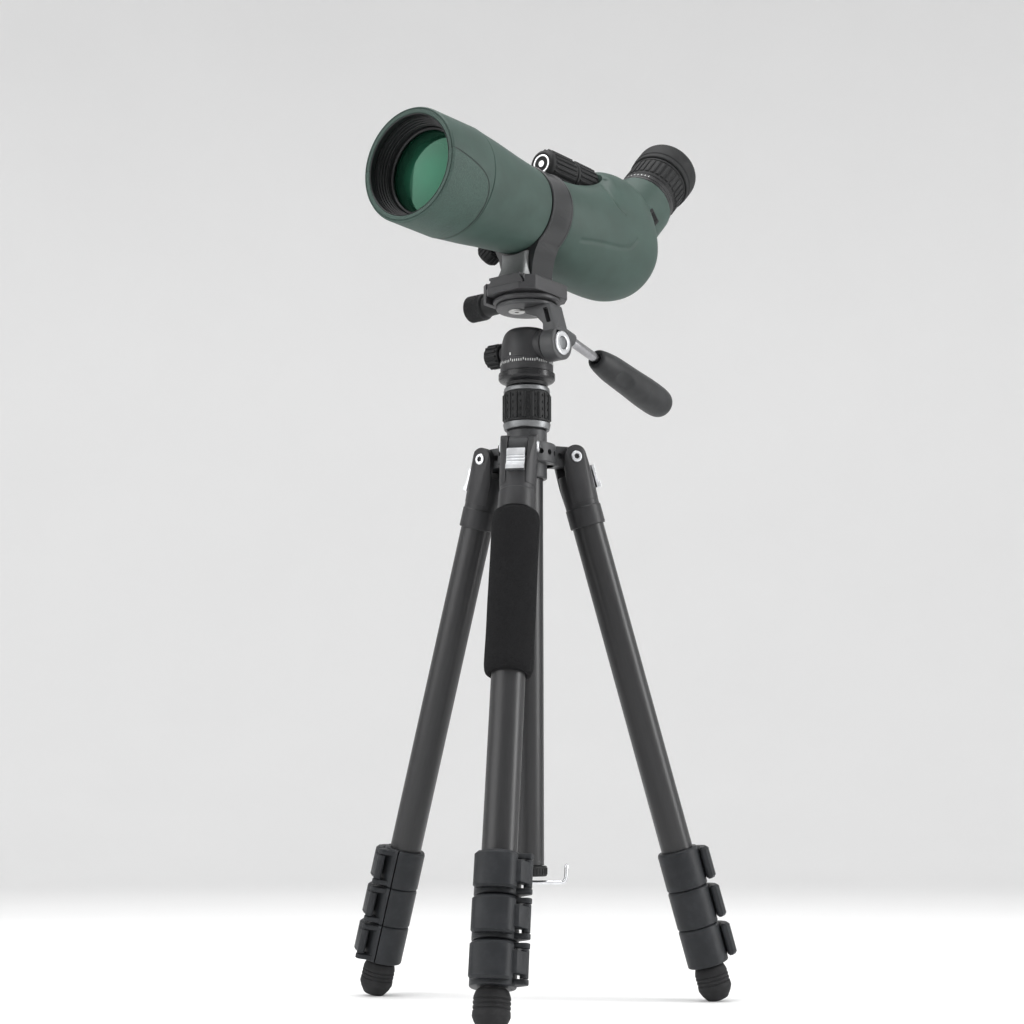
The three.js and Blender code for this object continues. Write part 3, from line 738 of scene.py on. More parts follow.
# ------------------------------------------------------------------ what a user may change
class ScopeLook(bpy.types.PropertyGroup):
    """Colours and details of the scope."""

    armour_colour: FloatVectorProperty(
        name="Armour", description="Colour of the rubber armour", subtype="COLOR", size=3,
        min=0, max=1, default=(0.040, 0.066, 0.056))
    black_colour: FloatVectorProperty(
        name="Black Metal", description="Colour of the anodised pieces", subtype="COLOR", size=3,
        min=0, max=1, default=(0.012, 0.012, 0.013))
    rubber_colour: FloatVectorProperty(
        name="Black Rubber", description="Colour of knobs, rings and eyecup", subtype="COLOR",
        size=3, min=0, max=1, default=(0.014, 0.0145, 0.015))
    coating_colour: FloatVectorProperty(
        name="Lens Coating", description="Tint of the light the lenses throw back",
        subtype="COLOR", size=3, min=0, max=1, default=(0.12, 0.62, 0.36))
    focus_ribs: IntProperty(
        name="Focus Ribs", description="Ribs around each focus knob", default=20, min=8, max=40)
    zoom_ribs: IntProperty(
        name="Zoom Ribs", description="Ribs around the zoom ring", default=32, min=12, max=60)
    groove_width: FloatProperty(
        name="Groove Width", description="Width of the sculpted lines in the armour",
        subtype="DISTANCE", unit="LENGTH", default=0.0007, min=0.0002, max=0.003)


class TripodLook(bpy.types.PropertyGroup):
    """Colours and details of the head and the tripod."""

    tube_colour: FloatVectorProperty(
        name="Tubes", description="Colour of the anodised tubes", subtype="COLOR", size=3,
        min=0, max=1, default=(0.018, 0.018, 0.019))
    casting_colour: FloatVectorProperty(
        name="Castings", description="Colour of the powder coated castings", subtype="COLOR",
        size=3, min=0, max=1, default=(0.022, 0.022, 0.0235))
    clamp_colour: FloatVectorProperty(
        name="Quick Release", description="Colour of the clamp and its jaw", subtype="COLOR",
        size=3, min=0, max=1, default=(0.036, 0.036, 0.038))
    foam_colour: FloatVectorProperty(
        name="Foam", description="Colour of the foam grip", subtype="COLOR", size=3,
        min=0, max=1, default=(0.010, 0.010, 0.0105))
    steel_colour: FloatVectorProperty(
        name="Bright Metal", description="Colour of bolts, rings and stops", subtype="COLOR",
        size=3, min=0, max=1, default=(0.72, 0.73, 0.75))
    twist_ribs: IntProperty(
        name="Twist Lock Ribs", description="Ribs around the column lock", default=18, min=8,
        max=40)
    dial_marks: IntProperty(
        name="Dial Marks", description="Marks around the pan dial", default=72, min=24, max=120)


class StageLook(bpy.types.PropertyGroup):
    """The camera, the light and the floor that sweeps up into a wall all round."""

    lens: FloatProperty(
        name="Lens", description="Focal length of the camera", subtype="DISTANCE_CAMERA",
        unit="CAMERA", default=63.9, min=20, max=200)
    azimuth: FloatProperty(
        name="Azimuth", description="Direction the camera looks in, from +Y towards -X",
        subtype="ANGLE", unit="ROTATION", default=math.radians(37.9))
    pitch: FloatProperty(
        name="Pitch", description="How far the camera looks up", subtype="ANGLE",
        unit="ROTATION", default=math.radians(9.44))
    back: FloatProperty(
        name="Distance", description="Level distance from the column to the camera",
        subtype="DISTANCE", unit="LENGTH", default=1.3507, min=0.3, max=10)
    aside: FloatProperty(
        name="Sideways", description="How far the camera stands right of the column",
        subtype="DISTANCE", unit="LENGTH", default=-0.0113, min=-2, max=2)
    height: FloatProperty(
        name="Camera Height", description="Height of the camera above the floor",
        subtype="DISTANCE", unit="LENGTH", default=0.1382, min=0.01, max=5)
    key_power: FloatProperty(
        name="Key Light", description="Power of the main softbox", subtype="POWER",
        unit="POWER", default=20.0, min=0, max=500)
    paper_glow: FloatProperty(
        name="Paper Glow", description="How far the floor and wall are lit from behind",
        default=0.1, min=0, max=2)
    room: FloatProperty(
        name="Room Light", description="Strength of the even light around", default=0.42,
        min=0, max=5)


# ------------------------------------------------------------------ operators
class PieceOperator:
    """Builds its pieces and reports that it has finished."""

    bl_options = {"REGISTER", "UNDO"}

    def execute(self, context):
        self.build(context.scene.field_scope, context.scene.field_tripod)
        return {"FINISHED"}


def scope_black(scope):
    return shared("scope black", lambda: turned_black(
        "blackened scope metal", OPTICS, scope.black_colour))


def clamp_coat(tripod):
    return shared("clamp grey", lambda: powder_coat(
        "grey clamp coat", HOME, tripod.clamp_colour, 0.42))


PANEL_SPREAD = 8.5        # degrees over which the hood panel's edge sweeps back
PANEL_REACH = 43.5        # how far the edge sweeps back along the hood
PANEL_FRONT = -138.0
PANEL_TOP = 5.0           # degrees above level where the edge meets the rim


def hood_panel_edge(finish, at):
    """Signed distance in millimetres from the edge of the grained hood panel."""
    x, y, z = finish.split(at)
    angle = (z - AXIS_RISE).math("ARCTAN2", z - AXIS_RISE, abs(x)) * (180 / math.pi)
    below = (PANEL_TOP - angle).most(0.0)
    fade = below.math("POWER", math.exp(-1 / PANEL_SPREAD), below)
    edge = PANEL_FRONT + PANEL_REACH * (1 - fade)
    slope = fade * (PANEL_REACH / PANEL_SPREAD / 0.742)
    inside = (angle < PANEL_TOP) * 1.0
    distance = (y - edge) / (1 + slope * slope).root()
    return distance * inside + 9 * (1 - inside)


def panel_field(finish, at):
    return 1 - hood_panel_edge(finish, at).rise(-0.9, -0.2)


def panel_groove(width):
    def draw(finish, at):
        return hood_panel_edge(finish, at).band(0.0, width, 0.35)
    return draw


class FIELDSCOPE_OT_hood(PieceOperator, bpy.types.Operator):
    """Sliding hood with its armour, front groove and blackened lining"""

    bl_idname = "fieldscope.hood"
    bl_label = "Hood"

    def build(self, scope, tripod):
        shell = turned("shell", [
            (37.4, -134.4), (37.4, -138.2), (38.0, -139.3), (40.4, -139.3), (40.6, -138.5),
            (41.1, -138.5), (41.3, -139.1), (41.8, -139.0), (42.5, -137.6), (42.9, -93.2),
            (42.3, -92.7), (40.7, -92.7), (40.7, -134.4)], radius=0.3, segments=160)
        skin = armour("armour hood", HOME, scope, mask=panel_field,
                      marks=panel_groove(scope.groove_width / MM))
        settle(shell, "hood_armour", OPTICS, skin, "hood", ["objective_hood"])
        lining = turned("lining", [
            (36.7, -134.5), (36.7, -138.5), (37.0, -138.9), (37.35, -138.9), (37.35, -134.5)],
            radius=0.1, segments=128)
        black = scope_black(scope)
        settle(lining, "hood_lining", OPTICS, black, "hood")


def lens_profile(radius, front, rear, bulge_front, bulge_rear, steps=14):
    """Both faces of a lens as shallow domes."""
    radii = [radius * i / steps for i in range(steps + 1)]
    face = [(r, front - bulge_front * (1 - (r / radius) ** 2)) for r in radii]
    back = [(r, rear + bulge_rear * (1 - (r / radius) ** 2)) for r in reversed(radii)]
    return face + back


class FIELDSCOPE_OT_objective(PieceOperator, bpy.types.Operator):
    """Armoured barrel, blackened cell with its stepped baffles, and the front lens"""

    bl_idname = "fieldscope.objective"
    bl_label = "Objective"

    def build(self, scope, tripod):
        taper = curve_through([(42.6, -91.6), (41.5, -80), (40.2, -66), (37.2, -40),
                               (34.7, -13.6)], 40)
        outline = [(38.2, -131), (40.3, -131), (40.3, -92.4), (42.2, -92.2), *taper,
                   (34.4, -13.1), (32.6, -13.1), (32.6, 13.2), (29.4, 13.2), (35.5, -104),
                   (38.2, -104)]
        barrel = turned("barrel", outline, radius=0.25, segments=128)
        settle(barrel, "barrel_armour", OPTICS, armour("armour barrel", HOME, scope), "scope",
               ["objective_barrel"])
        steps = [(33.3, -124), (33.3, -125.4), (34.1, -125.4), (34.1, -127.4), (34.9, -127.4),
                 (34.9, -129.4), (35.7, -129.4), (35.7, -131.4), (36.4, -131.4)]
        cell = turned("cell", [(36.4, -133.6), (37.8, -133.6), (37.8, -104.4), (30, -104.4),
                               (30, -109), (32.95, -109), (32.95, -124), *steps],
                      radius=0.15, segments=128, steps=2)
        black = scope_black(scope)
        settle(cell, "objective_cell_metal", OPTICS, black, "scope", ["objective_cell"])
        lens = turned("lens", lens_profile(32.6, -118, -110.4, 2.8, 1.6), 0, 128)
        glass = optical_glass("coated objective", OPTICS, scope.coating_colour)
        settle(lens, "objective_glass", OPTICS, glass, "scope", ["objective_lens"])
        retainer = turned("retainer", [
            (30.6, -120.6), (31.4, -121.4), (32.5, -121.4), (32.5, -118.4), (31.2, -118.6)],
            radius=0.15, segments=128)
        settle(retainer, "lens_retaining_ring", OPTICS, black, "scope")


# stations along the housing: y, depth below the axis, height above it, half width
HOUSING = [
    (13.6, 33.8, 33.8, 33.8), (26, 37.2, 34.4, 35.4), (42, 41.2, 35.8, 37.2),
    (60, 44.2, 39.6, 38.6), (74, 45.4, 46, 39.2), (84, 45.8, 57, 39.4), (96, 45.8, 60.4, 39.3),
    (108, 44.8, 61, 38.8), (121, 41.6, 59.4, 37), (132, 36.4, 54, 34), (141, 27, 38, 27.4),
    (147, 12, 16, 14),
]
UPPER_LINE = [(79.5, 46.2), (74.6, 39.4), (72.4, 33.1), (71.8, 23.1), (74.6, 17.4), (80.8, 13.6)]
LOWER_LINE = [(29.7, -19.5), (45.5, -17.7), (64.3, -16.1), (78.4, -14.7), (88.2, -11.3),
              (94.9, -4.2)]


def housing_loft(name, inset=0.0, roof=99.0, rows=56, segments=96):
    """Egg-shaped sections stacked along Y, closed at both ends."""
    verts, faces = [], []
    runs = curve_through(HOUSING, rows)
    for y, below, above, half in runs:
        for i in range(segments):
            t = 2 * math.pi * i / segments
            height = min(above, roof) if math.sin(t) > 0 else below
            verts.append(((half - inset) * math.cos(t), y,
                          AXIS_RISE + (height - inset) * math.sin(t)))
    for row in range(rows):
        for i in range(segments):
            j = (i + 1) % segments
            a, b = row * segments, (row + 1) * segments
            faces.append([a + i, a + j, b + j, b + i])
    faces.append(list(range(segments)))
    faces.append([rows * segments + i for i in range(segments)])
    return outward(new_object(name, verts, faces))


def near_line(y, z, line):
    """Distance from a point to a run of short straight pieces."""
    best = 1e9
    for (y0, z0), (y1, z1) in zip(line, line[1:]):
        dy, dz = y1 - y0, z1 - z0
        t = ((y - y0) * dy + (z - z0) * dz) / (dy * dy + dz * dz)
        t = max(0.0, min(1.0, t))
        best = min(best, math.hypot(y - y0 - t * dy, z - z0 - t * dz))
    return best


def press_lines(obj, lines, depth, width):
    """Press soft sculpted lines into both sides of the housing."""
    runs = [[tuple(p) for p in curve_through(line, 24)] for line in lines]
    for vert in obj.data.vertices:
        x, y, z = vert.co
        if abs(x) < 12:
            continue
        gap = min(near_line(y, z - AXIS_RISE, run) for run in runs)
        if gap < 3 * width:
            vert.co -= vert.normal * depth * math.exp(-(gap / width) ** 2)


IN_HOUSING = shift(0, 0, AXIS_RISE) @ turn("X", -90)
ON_KNOB_AXIS = shift(0, 0, AXIS_RISE + KNOB_RISE) @ turn("X", -90)
ON_EYE_AXIS = shift(0, EYE_START, AXIS_RISE) @ turn("X", -45)


class FIELDSCOPE_OT_housing(PieceOperator, bpy.types.Operator):
    """Prism housing with its sculpted lines, knob saddle and button pocket"""

    bl_idname = "fieldscope.housing"
    bl_label = "Prism Housing"

    def build(self, scope, tripod):
        housing = housing_loft("housing")
        neck = turned("neck", [(0, 8), (22, 8), (25.4, 15), (27.2, 24), (27.2, 71.2), (0, 71.2)],
                      radius=0, segments=96)
        housing = joined("housing", [housing, moved(neck, ON_EYE_AXIS)])
        blend = housing.modifiers.new("one skin", "REMESH")
        blend.mode = "VOXEL"
        blend.voxel_size = 1.1
        soften = housing.modifiers.new("soften", "SMOOTH")
        soften.factor = 0.5
        soften.iterations = 9
        baked(housing)
        press_lines(housing, [UPPER_LINE, LOWER_LINE], 1.15, 1.3)
        saddle = turned("saddle", [(0, 8), (15.7, 8), (15.7, 80.4), (14.2, 82), (0, 82)], 0, 96)
        pocket = bevelled(brick("pocket", 23.4, 40, -6.6, 6.6, 35.4, 44.6), 1.2)
        eye_bore = rod("bore", 16.4, 20, 80, 0, 64)
        seat = turned("seat", [(25.9, 70.4), (31, 70.4), (31, 76), (25.9, 76)], 0, 96)
        shaft_bore = rod("bore", 3.4, 80, 90.4, 0, 48)
        room = housing_loft("room", 4.2, 31.8, 30, 48)
        for vert in room.data.vertices:
            vert.co.y = 12 + (vert.co.y - 13.6) * 0.9
        carved(housing, moved(saddle, ON_KNOB_AXIS), moved(pocket, ON_EYE_AXIS),
               moved(seat, ON_EYE_AXIS), moved(eye_bore, ON_EYE_AXIS),
               moved(shaft_bore, ON_KNOB_AXIS), room)
        skin = armour("armour housing", HOME, scope)
        settle(housing, "housing_armour", HOME, skin, "scope", ["prism_housing"], crease=42)
        frame_ring = carved(
            bevelled(brick("frame", 23.6, 27.7, -6.5, 6.5, 35.5, 44.5), 0.9),
            bevelled(brick("gap", 20, 30, -6.2, 6.2, 35.9, 44.1), 0.6))
        dark = shared("rubber housing", lambda: moulded_rubber(
            "black moulding scope", EYE, scope.rubber_colour))
        settle(frame_ring, "button_frame", EYE, dark, "scope")
        button = bevelled(brick("button", 23.2, 27.9, -6, 6, 36, 44), 0.7)
        cut = [brick("cut", 27.4, 29, -4.2, 4.2, z - 0.35, z + 0.35) for z in (38.4, 40, 41.6)]
        carved(button, *cut)
        settle(button, "release_button_cap", EYE, dark, "release_button",
               ["eyepiece_release_button"])


class FIELDSCOPE_OT_focus(PieceOperator, bpy.types.Operator):
    """Fine and coarse focus knobs with their ribs and the plain face disc"""

    bl_idname = "fieldscope.focus"
    bl_label = "Focus Knobs"

    def build(self, scope, tripod):
        rubber = moulded_rubber("black moulding focus", FOCUS, scope.rubber_colour, 0.5)
        front = turned("front", [(0, 19.6), (8.2, 19.6), (8.2, 19), (9.2, 19), (11.2, 20.4),
                                 (12, 23), (12.4, 51.6), (11.9, 52.8), (3, 52.8), (3, 89.5),
                                 (0, 89.5)], radius=0.8, segments=96)
        settle(front, "fine_focus_core", FOCUS, rubber, "fine_focus", ["fine_focus_knob"])
        unit = rib(2.6, 10.9, 13.2, 22.0, 51.4, 0.72, 0.5)
        ribs = repeater().copies(unit, rubber, scope.focus_ribs)
        settle(ribs, "fine_focus_ribs", FOCUS, rubber, "fine_focus")
        rear = turned("rear", [(3.35, 53.2), (12, 53.2), (12.4, 54.4), (12.4, 79), (11.4, 81.4),
                               (3.35, 81.4)], radius=0.6, segments=96)
        settle(rear, "coarse_focus_core", FOCUS, rubber, "coarse_focus", ["coarse_focus_knob"])
        unit = rib(2.6, 10.9, 13.2, 54.6, 79.6, 0.72, 0.5)
        ribs = repeater().copies(unit, rubber, scope.focus_ribs, Start=9.0)
        settle(ribs, "coarse_focus_ribs", FOCUS, rubber, "coarse_focus")
        bright = bright_metal("brushed badge", FOCUS, (0.78, 0.79, 0.8), 0.24)
        ring = turned("ring", [(6.2, 19.7), (6.2, 18.9), (7.6, 18.9), (7.6, 19.7)], 0.2, 64)
        dot = rod("dot", 2.6, 18.9, 19.7, 0.2, 48)
        settle(joined("badge", [ring, dot]), "focus_face_badge", FOCUS, bright, "fine_focus")


class FIELDSCOPE_OT_eyepiece(PieceOperator, bpy.types.Operator):
    """Eyepiece body with its scale, ribbed zoom ring, twist-up eyecup and eye lens"""

    bl_idname = "fieldscope.eyepiece"
    bl_label = "Eyepiece"

    def build(self, scope, tripod):
        black = turned_black("black anodised eyepiece", EYE, scope.black_colour, 0.3)
        rubber = moulded_rubber("black moulding eyepiece", EYE, scope.rubber_colour, 0.6)
        paint = plain_paint("white marks eyepiece", EYE, (0.75, 0.76, 0.75))
        body = turned("body", [
            (13.6, 54), (16, 54), (16, 71.6), (25.2, 71.6), (26.2, 72.6), (26.2, 74.6),
            (25.5, 74.9), (25.5, 75.4), (26.0, 75.7), (26.0, 76.8), (25.2, 77.2), (25.2, 80.6),
            (24.7, 80.9), (24.7, 81.4), (25.2, 81.7), (25.2, 82.05), (19, 82.05), (19, 116.4),
            (13.6, 116.4)], radius=0.25, segments=128)
        settle(body, "eyepiece_rings", EYE, black, "scope", ["eyepiece_body"])
        unit = rib(0.5, 25.0, 25.32, 77.9, 79.9, 0.9, 0.05)
        marks = repeater().copies(unit, paint, 15, 7.5, Start=-160.0, Major_Every=5,
                                  Major_Size=1.006)
        settle(marks, "magnification_marks", EYE, paint, "scope")
        zoom = turned("zoom", [
            (19.35, 82.4), (24.3, 82.4), (25.0, 83.0), (25.0, 85.2), (24.4, 85.6), (24.5, 105.8),
            (25.3, 106.2), (25.3, 108), (24.8, 108.6), (19.35, 108.6)], radius=0.35, segments=128)
        settle(zoom, "zoom_ring_core", EYE, rubber, "zoom_ring", ["zoom_ring"])
        unit = rib(3.4, 23.9, 25.55, 86.2, 105.4, 0.8, 0.35)
        ribs = repeater().copies(unit, rubber, scope.zoom_ribs)
        settle(ribs, "zoom_ring_ribs", EYE, rubber, "zoom_ring")
        unit = rib(1.0, 24.8, 25.2, 83.2, 85.0, 0.9, 0.05)
        pointer = repeater().copies(unit, paint, 1, Start=-120.0)
        settle(pointer, "zoom_pointer", EYE, paint, "zoom_ring")
        cup = turned("cup", [
            (19.35, 108.95), (26.2, 108.95), (26.8, 109.6), (26.8, 113.2), (26.3, 113.6),
            (26.4, 114.2), (27.2, 115), (27.2, 127.6), (26.6, 130.2), (24.6, 131.6),
            (22.6, 131.4), (21.4, 129.6), (20.6, 127), (20.6, 120), (19.35, 118)],
            radius=0.8, segments=128)
        settle(cup, "eyecup_rubber", EYE, rubber, "eyecup", ["eyecup"])
        glass = optical_glass("coated eye lens", EYE, scope.coating_colour)
        lens = turned("lens", lens_profile(13.2, 109, 113.6, 1.2, 1.8), 0, 64)
        settle(lens, "eye_lens_glass", EYE, glass, "scope", ["eye_lens"])


class FIELDSCOPE_OT_internals(PieceOperator, bpy.types.Operator):
    """Glass for the prism, the focusing lens and the zoom lens inside the scope"""

    bl_idname = "fieldscope.internals"
    bl_label = "Internal Optics"

    def build(self, scope, tripod):
        glass = optical_glass("coated inner optics", OPTICS, scope.coating_colour)
        for name in ("erecting_prism", "focusing_lens", "zoom_lens"):
            slots = NODES[name].data.materials
            slots.clear()
            slots.append(glass.material)


class FIELDSCOPE_OT_collar(PieceOperator, bpy.types.Operator):
    """Tripod collar, its foot, lock knob and quick release plate"""

    bl_idname = "fieldscope.collar"
    bl_label = "Tripod Collar"

    def build(self, scope, tripod):
        satin = satin_black("satin black collar", OPTICS, (0.016, 0.017, 0.018), roughness=0.26)
        ring = turned("ring", [
            (33, -12.6), (35.1, -12.6), (35.7, -12.1), (35.7, -10.8), (35.3, -10.4),
            (35.3, 10.9), (35.7, 11.3), (35.7, 12.6), (35.1, 13.1), (33, 13.1)],
            radius=0.2, segments=160)
        moved(ring, IN_HOUSING)
        flare = pushed("flare", [(-14.2, 136.2), (14.2, 136.2), (15.4, 146), (17.6, 155),
                                 (22, 163.6), (-22, 163.6), (-17.6, 155), (-15.4, 146)],
                       -13.1, 12.6)
        moved(flare, ALONG_Y)
        boss = turned("boss", [(0, 33.4), (6.9, 33.4), (6.6, 38.4), (0, 38.4)], 0.4, 48)
        fused(ring, flare, moved(boss, ON_COLLAR_SCREW))
        screw_hole = moved(rod("hole", 3.3, 28, 42),
                           ON_COLLAR_SCREW)
        bore = moved(rod("bore", 33, -13.4, 14, 0, 160),
                     IN_HOUSING)
        carved(ring, screw_hole, bore)
        bevelled(ring, 0.5, 2, 50)
        settle(ring, "collar_ring", HOME, satin, "mount_foot", ["tripod_collar"], crease=40)
        levels = []
        for i in range(13):
            t = i / 12
            waist = math.sin(math.pi * min(1, t * 1.15)) * 1.6
            front = -22 + 5.5 * (1 - (1 - t) ** 3)
            outline = rounded([(-12 + waist, front), (12 - waist, front), (13.8 - waist, -12),
                               (13.8 - waist, 16), (9, 20.6), (-9, 20.6), (-13.8 + waist, 16),
                               (-13.8 + waist, -12)], 2.6, 5)
            levels.append((136 + 28 * t, outline))
        foot = stacked("foot", levels)
        hollow = moved(turned("hollow", [(0, -70), (37.6, -70), (36.9, -13), (0, -13)], 0, 128),
                       IN_HOUSING)
        rear = moved(turned("rear", [(0, 13.1), (39.4, 13.1), (42, 60), (0, 60)], 0, 128),
                     IN_HOUSING)
        core = brick("core", -30, 30, -13.15, 13.15, 136.8, 170)
        carved(foot, hollow, rear, core)
        # painted sheen: the foot is one casting with the satin black collar ring but gets a much
        # lighter grey copy of that finish, standing in for the light on its neck
        grey = satin_black("light satin foot", OPTICS, (0.2, 0.205, 0.205), metallic=0.6,
                           roughness=0.36)
        settle(foot, "collar_foot", HOME, grey, "mount_foot", crease=40)
        knob = turned("knob", [
            (0, -4.4), (2.9, -4.4), (2.9, 0), (8, 0), (8.6, 0.6), (8.6, 9.4), (7.2, 11), (0, 11)],
            radius=0.5, segments=64)
        rubber = moulded_rubber("black moulding collar", COLLAR_SCREW, scope.rubber_colour, 0.5)
        settle(knob, "collar_knob_core", COLLAR_SCREW, rubber, "collar_lock",
               ["collar_lock_knob"])
        ribs = repeater().copies(rib(1.6, 7.8, 9.6, 0.5, 9.8, 0.7, 0.4), rubber, 18)
        settle(ribs, "collar_knob_ribs", COLLAR_SCREW, rubber, "collar_lock")
        casting = clamp_coat(tripod)
        plate = pushed("plate", [
            (-14.8, 135.6), (14.4, 135.6), (14.4, 133.8), (16.6, 129.8), (16.6, 128),
            (-15.6, 128), (-15.6, 129.4), (-13.4, 132.8), (-14.8, 133.6)], -28, 28)
        moved(plate, ALONG_Y)
        bevelled(plate, 0.35, 2)
        settle(plate, "release_plate_metal", HOME, casting, "mount_foot",
               ["quick_release_plate"], flat=True)


class FIELDSCOPE_OT_clamp(PieceOperator, bpy.types.Operator):
    """Quick release clamp, its jaw and the knurled clamp knob"""

    bl_idname = "fieldscope.clamp"
    bl_label = "Quick Release Clamp"

    def build(self, scope, tripod):
        casting = clamp_coat(tripod)
        outline = [(-19.6, -25), (-15.6, -29), (15, -29), (24, -20), (24, 20), (15, 29),
                   (-15.6, 29), (-19.6, 25)]
        deck = bevelled(pushed("deck", outline, 122.6, 134), 0.9, 3)
        hub = turned("hub", [(0, 117.5), (24.4, 117.5), (26.2, 118.6), (26.2, 120.6), (23.4, 121.2),
                             (22.6, 123.6), (0, 123.6)], 0.4, 96)
        carved(hub, brick("side", -40, -19.6, -40, 40, 110, 140))
        channel = brick("channel", -21, 17.75, -40, 40, 127.6, 141)
        fused(deck, hub)
        lip = moved(pushed("lip", [(15.35, 134), (18, 134), (18, 129.6)], -27, 27), ALONG_Y)
        screw = moved(rod("screw", 3.4, -30, 4),
                      ON_CLAMP_AXIS)
        carved(deck, channel)
        fused(deck, lip)
        carved(deck, screw)
        settle(deck, "clamp_deck", HOME, casting, "tilt_head", ["clamp_body"], crease=30,
               flat=True)
        jaw = pushed("jaw", [(-25.8, -21), (-20, -25), (-20, 25), (-25.8, 21)], 117.8, 133.4)
        bevelled(jaw, 0.8, 3)
        tooth = moved(pushed("tooth", [(-21, 132.8), (-15.4, 132.8), (-18.6, 128.4),
                                       (-21, 128.4)], -24, 24), ALONG_Y)
        fused(jaw, tooth)
        hole = moved(rod("hole", 3.4, -40, -10),
                     ON_CLAMP_AXIS)
        carved(jaw, hole)
        settle(jaw, "clamp_jaw_metal", HOME, casting, "jaw", ["clamp_jaw"], crease=30, flat=True)
        rubber = moulded_rubber("black moulding clamp", CLAMP_SCREW, scope.rubber_colour, 0.5)
        knob = turned("knob", [
            (0, -29), (2.9, -29), (2.9, 0), (7.2, 0), (7.8, 0.8), (8.2, 12.4), (9.4, 13.4),
            (10.1, 14.4), (10.1, 28.6), (8.8, 30), (0, 30)], radius=0.5, segments=96)
        settle(knob, "clamp_knob_core", CLAMP_SCREW, rubber, "jaw_knob", ["clamp_knob"])
        point = new_object("point", [(9.9, -0.75, -0.75), (9.9, 0.75, -0.75), (9.9, 0.75, 0.75),
                                     (9.9, -0.75, 0.75), (10.6, 0, 0)],
                           [(3, 2, 1, 0), (0, 1, 4), (1, 2, 4), (2, 3, 4), (3, 0, 4)])
        moved(point, shift(0, 0, 15.6))
        knurl = repeater().copies(outward(point), rubber, 42, Rows=18, Row_Rise=0.74,
                                  Row_Turn=360 / 84)
        settle(knurl, "clamp_knob_knurl", CLAMP_SCREW, rubber, "jaw_knob")


def swept(name, path, radius, sides=20):
    """A round wire along a path, closed with a rounded cap at each end."""
    points = [Vector(p) for p in path]
    tangents = []
    for i in range(len(points)):
        ahead = points[min(i + 1, len(points) - 1)]
        tangents.append((ahead - points[max(i - 1, 0)]).normalized())
    across = tangents[0].orthogonal().normalized()
    rings = []
    for i, (point, tangent) in enumerate(zip(points, tangents)):
        across = (across - tangent * across.dot(tangent)).normalized()
        other = tangent.cross(across)
        rings.append((point, across, other, radius))
        if i in (0, len(points) - 1):
            away = -1 if i == 0 else 1
            caps = [(point + tangent * away * radius * s, across, other,
                     radius * math.sqrt(1 - s * s)) for s in (0.5, 0.85, 0.98)]
            rings = list(reversed(caps)) + rings if i == 0 else rings + caps
    verts, faces = [], []
    for point, first, second, size in rings:
        for k in range(sides):
            a = 2 * math.pi * k / sides
            verts.append(point + (first * math.cos(a) + second * math.sin(a)) * size)
    for row in range(len(rings) - 1):
        for k in range(sides):
            j = (k + 1) % sides
            a, b = row * sides, (row + 1) * sides
            faces.append([a + k, a + j, b + j, b + k])
    faces.append(list(range(sides)))
    faces.append([(len(rings) - 1) * sides + k for k in range(sides)])
    return outward(new_object(name, verts, faces))


def hex_bolt(head_radius, height, socket=2.3):
    """A low round bolt head with a hexagon socket, standing on z = 0."""
    head = turned("bolt", [(0, -1.5), (head_radius, -1.5), (head_radius, height - 0.5),
                           (head_radius - 0.5, height), (0, height)], 0.25, 48)
    hexagon = [(socket * math.cos(a), socket * math.sin(a))
               for a in (math.pi / 3 * i for i in range(6))]
    return carved(head, pushed("socket", hexagon, height - 1.6, height + 1))


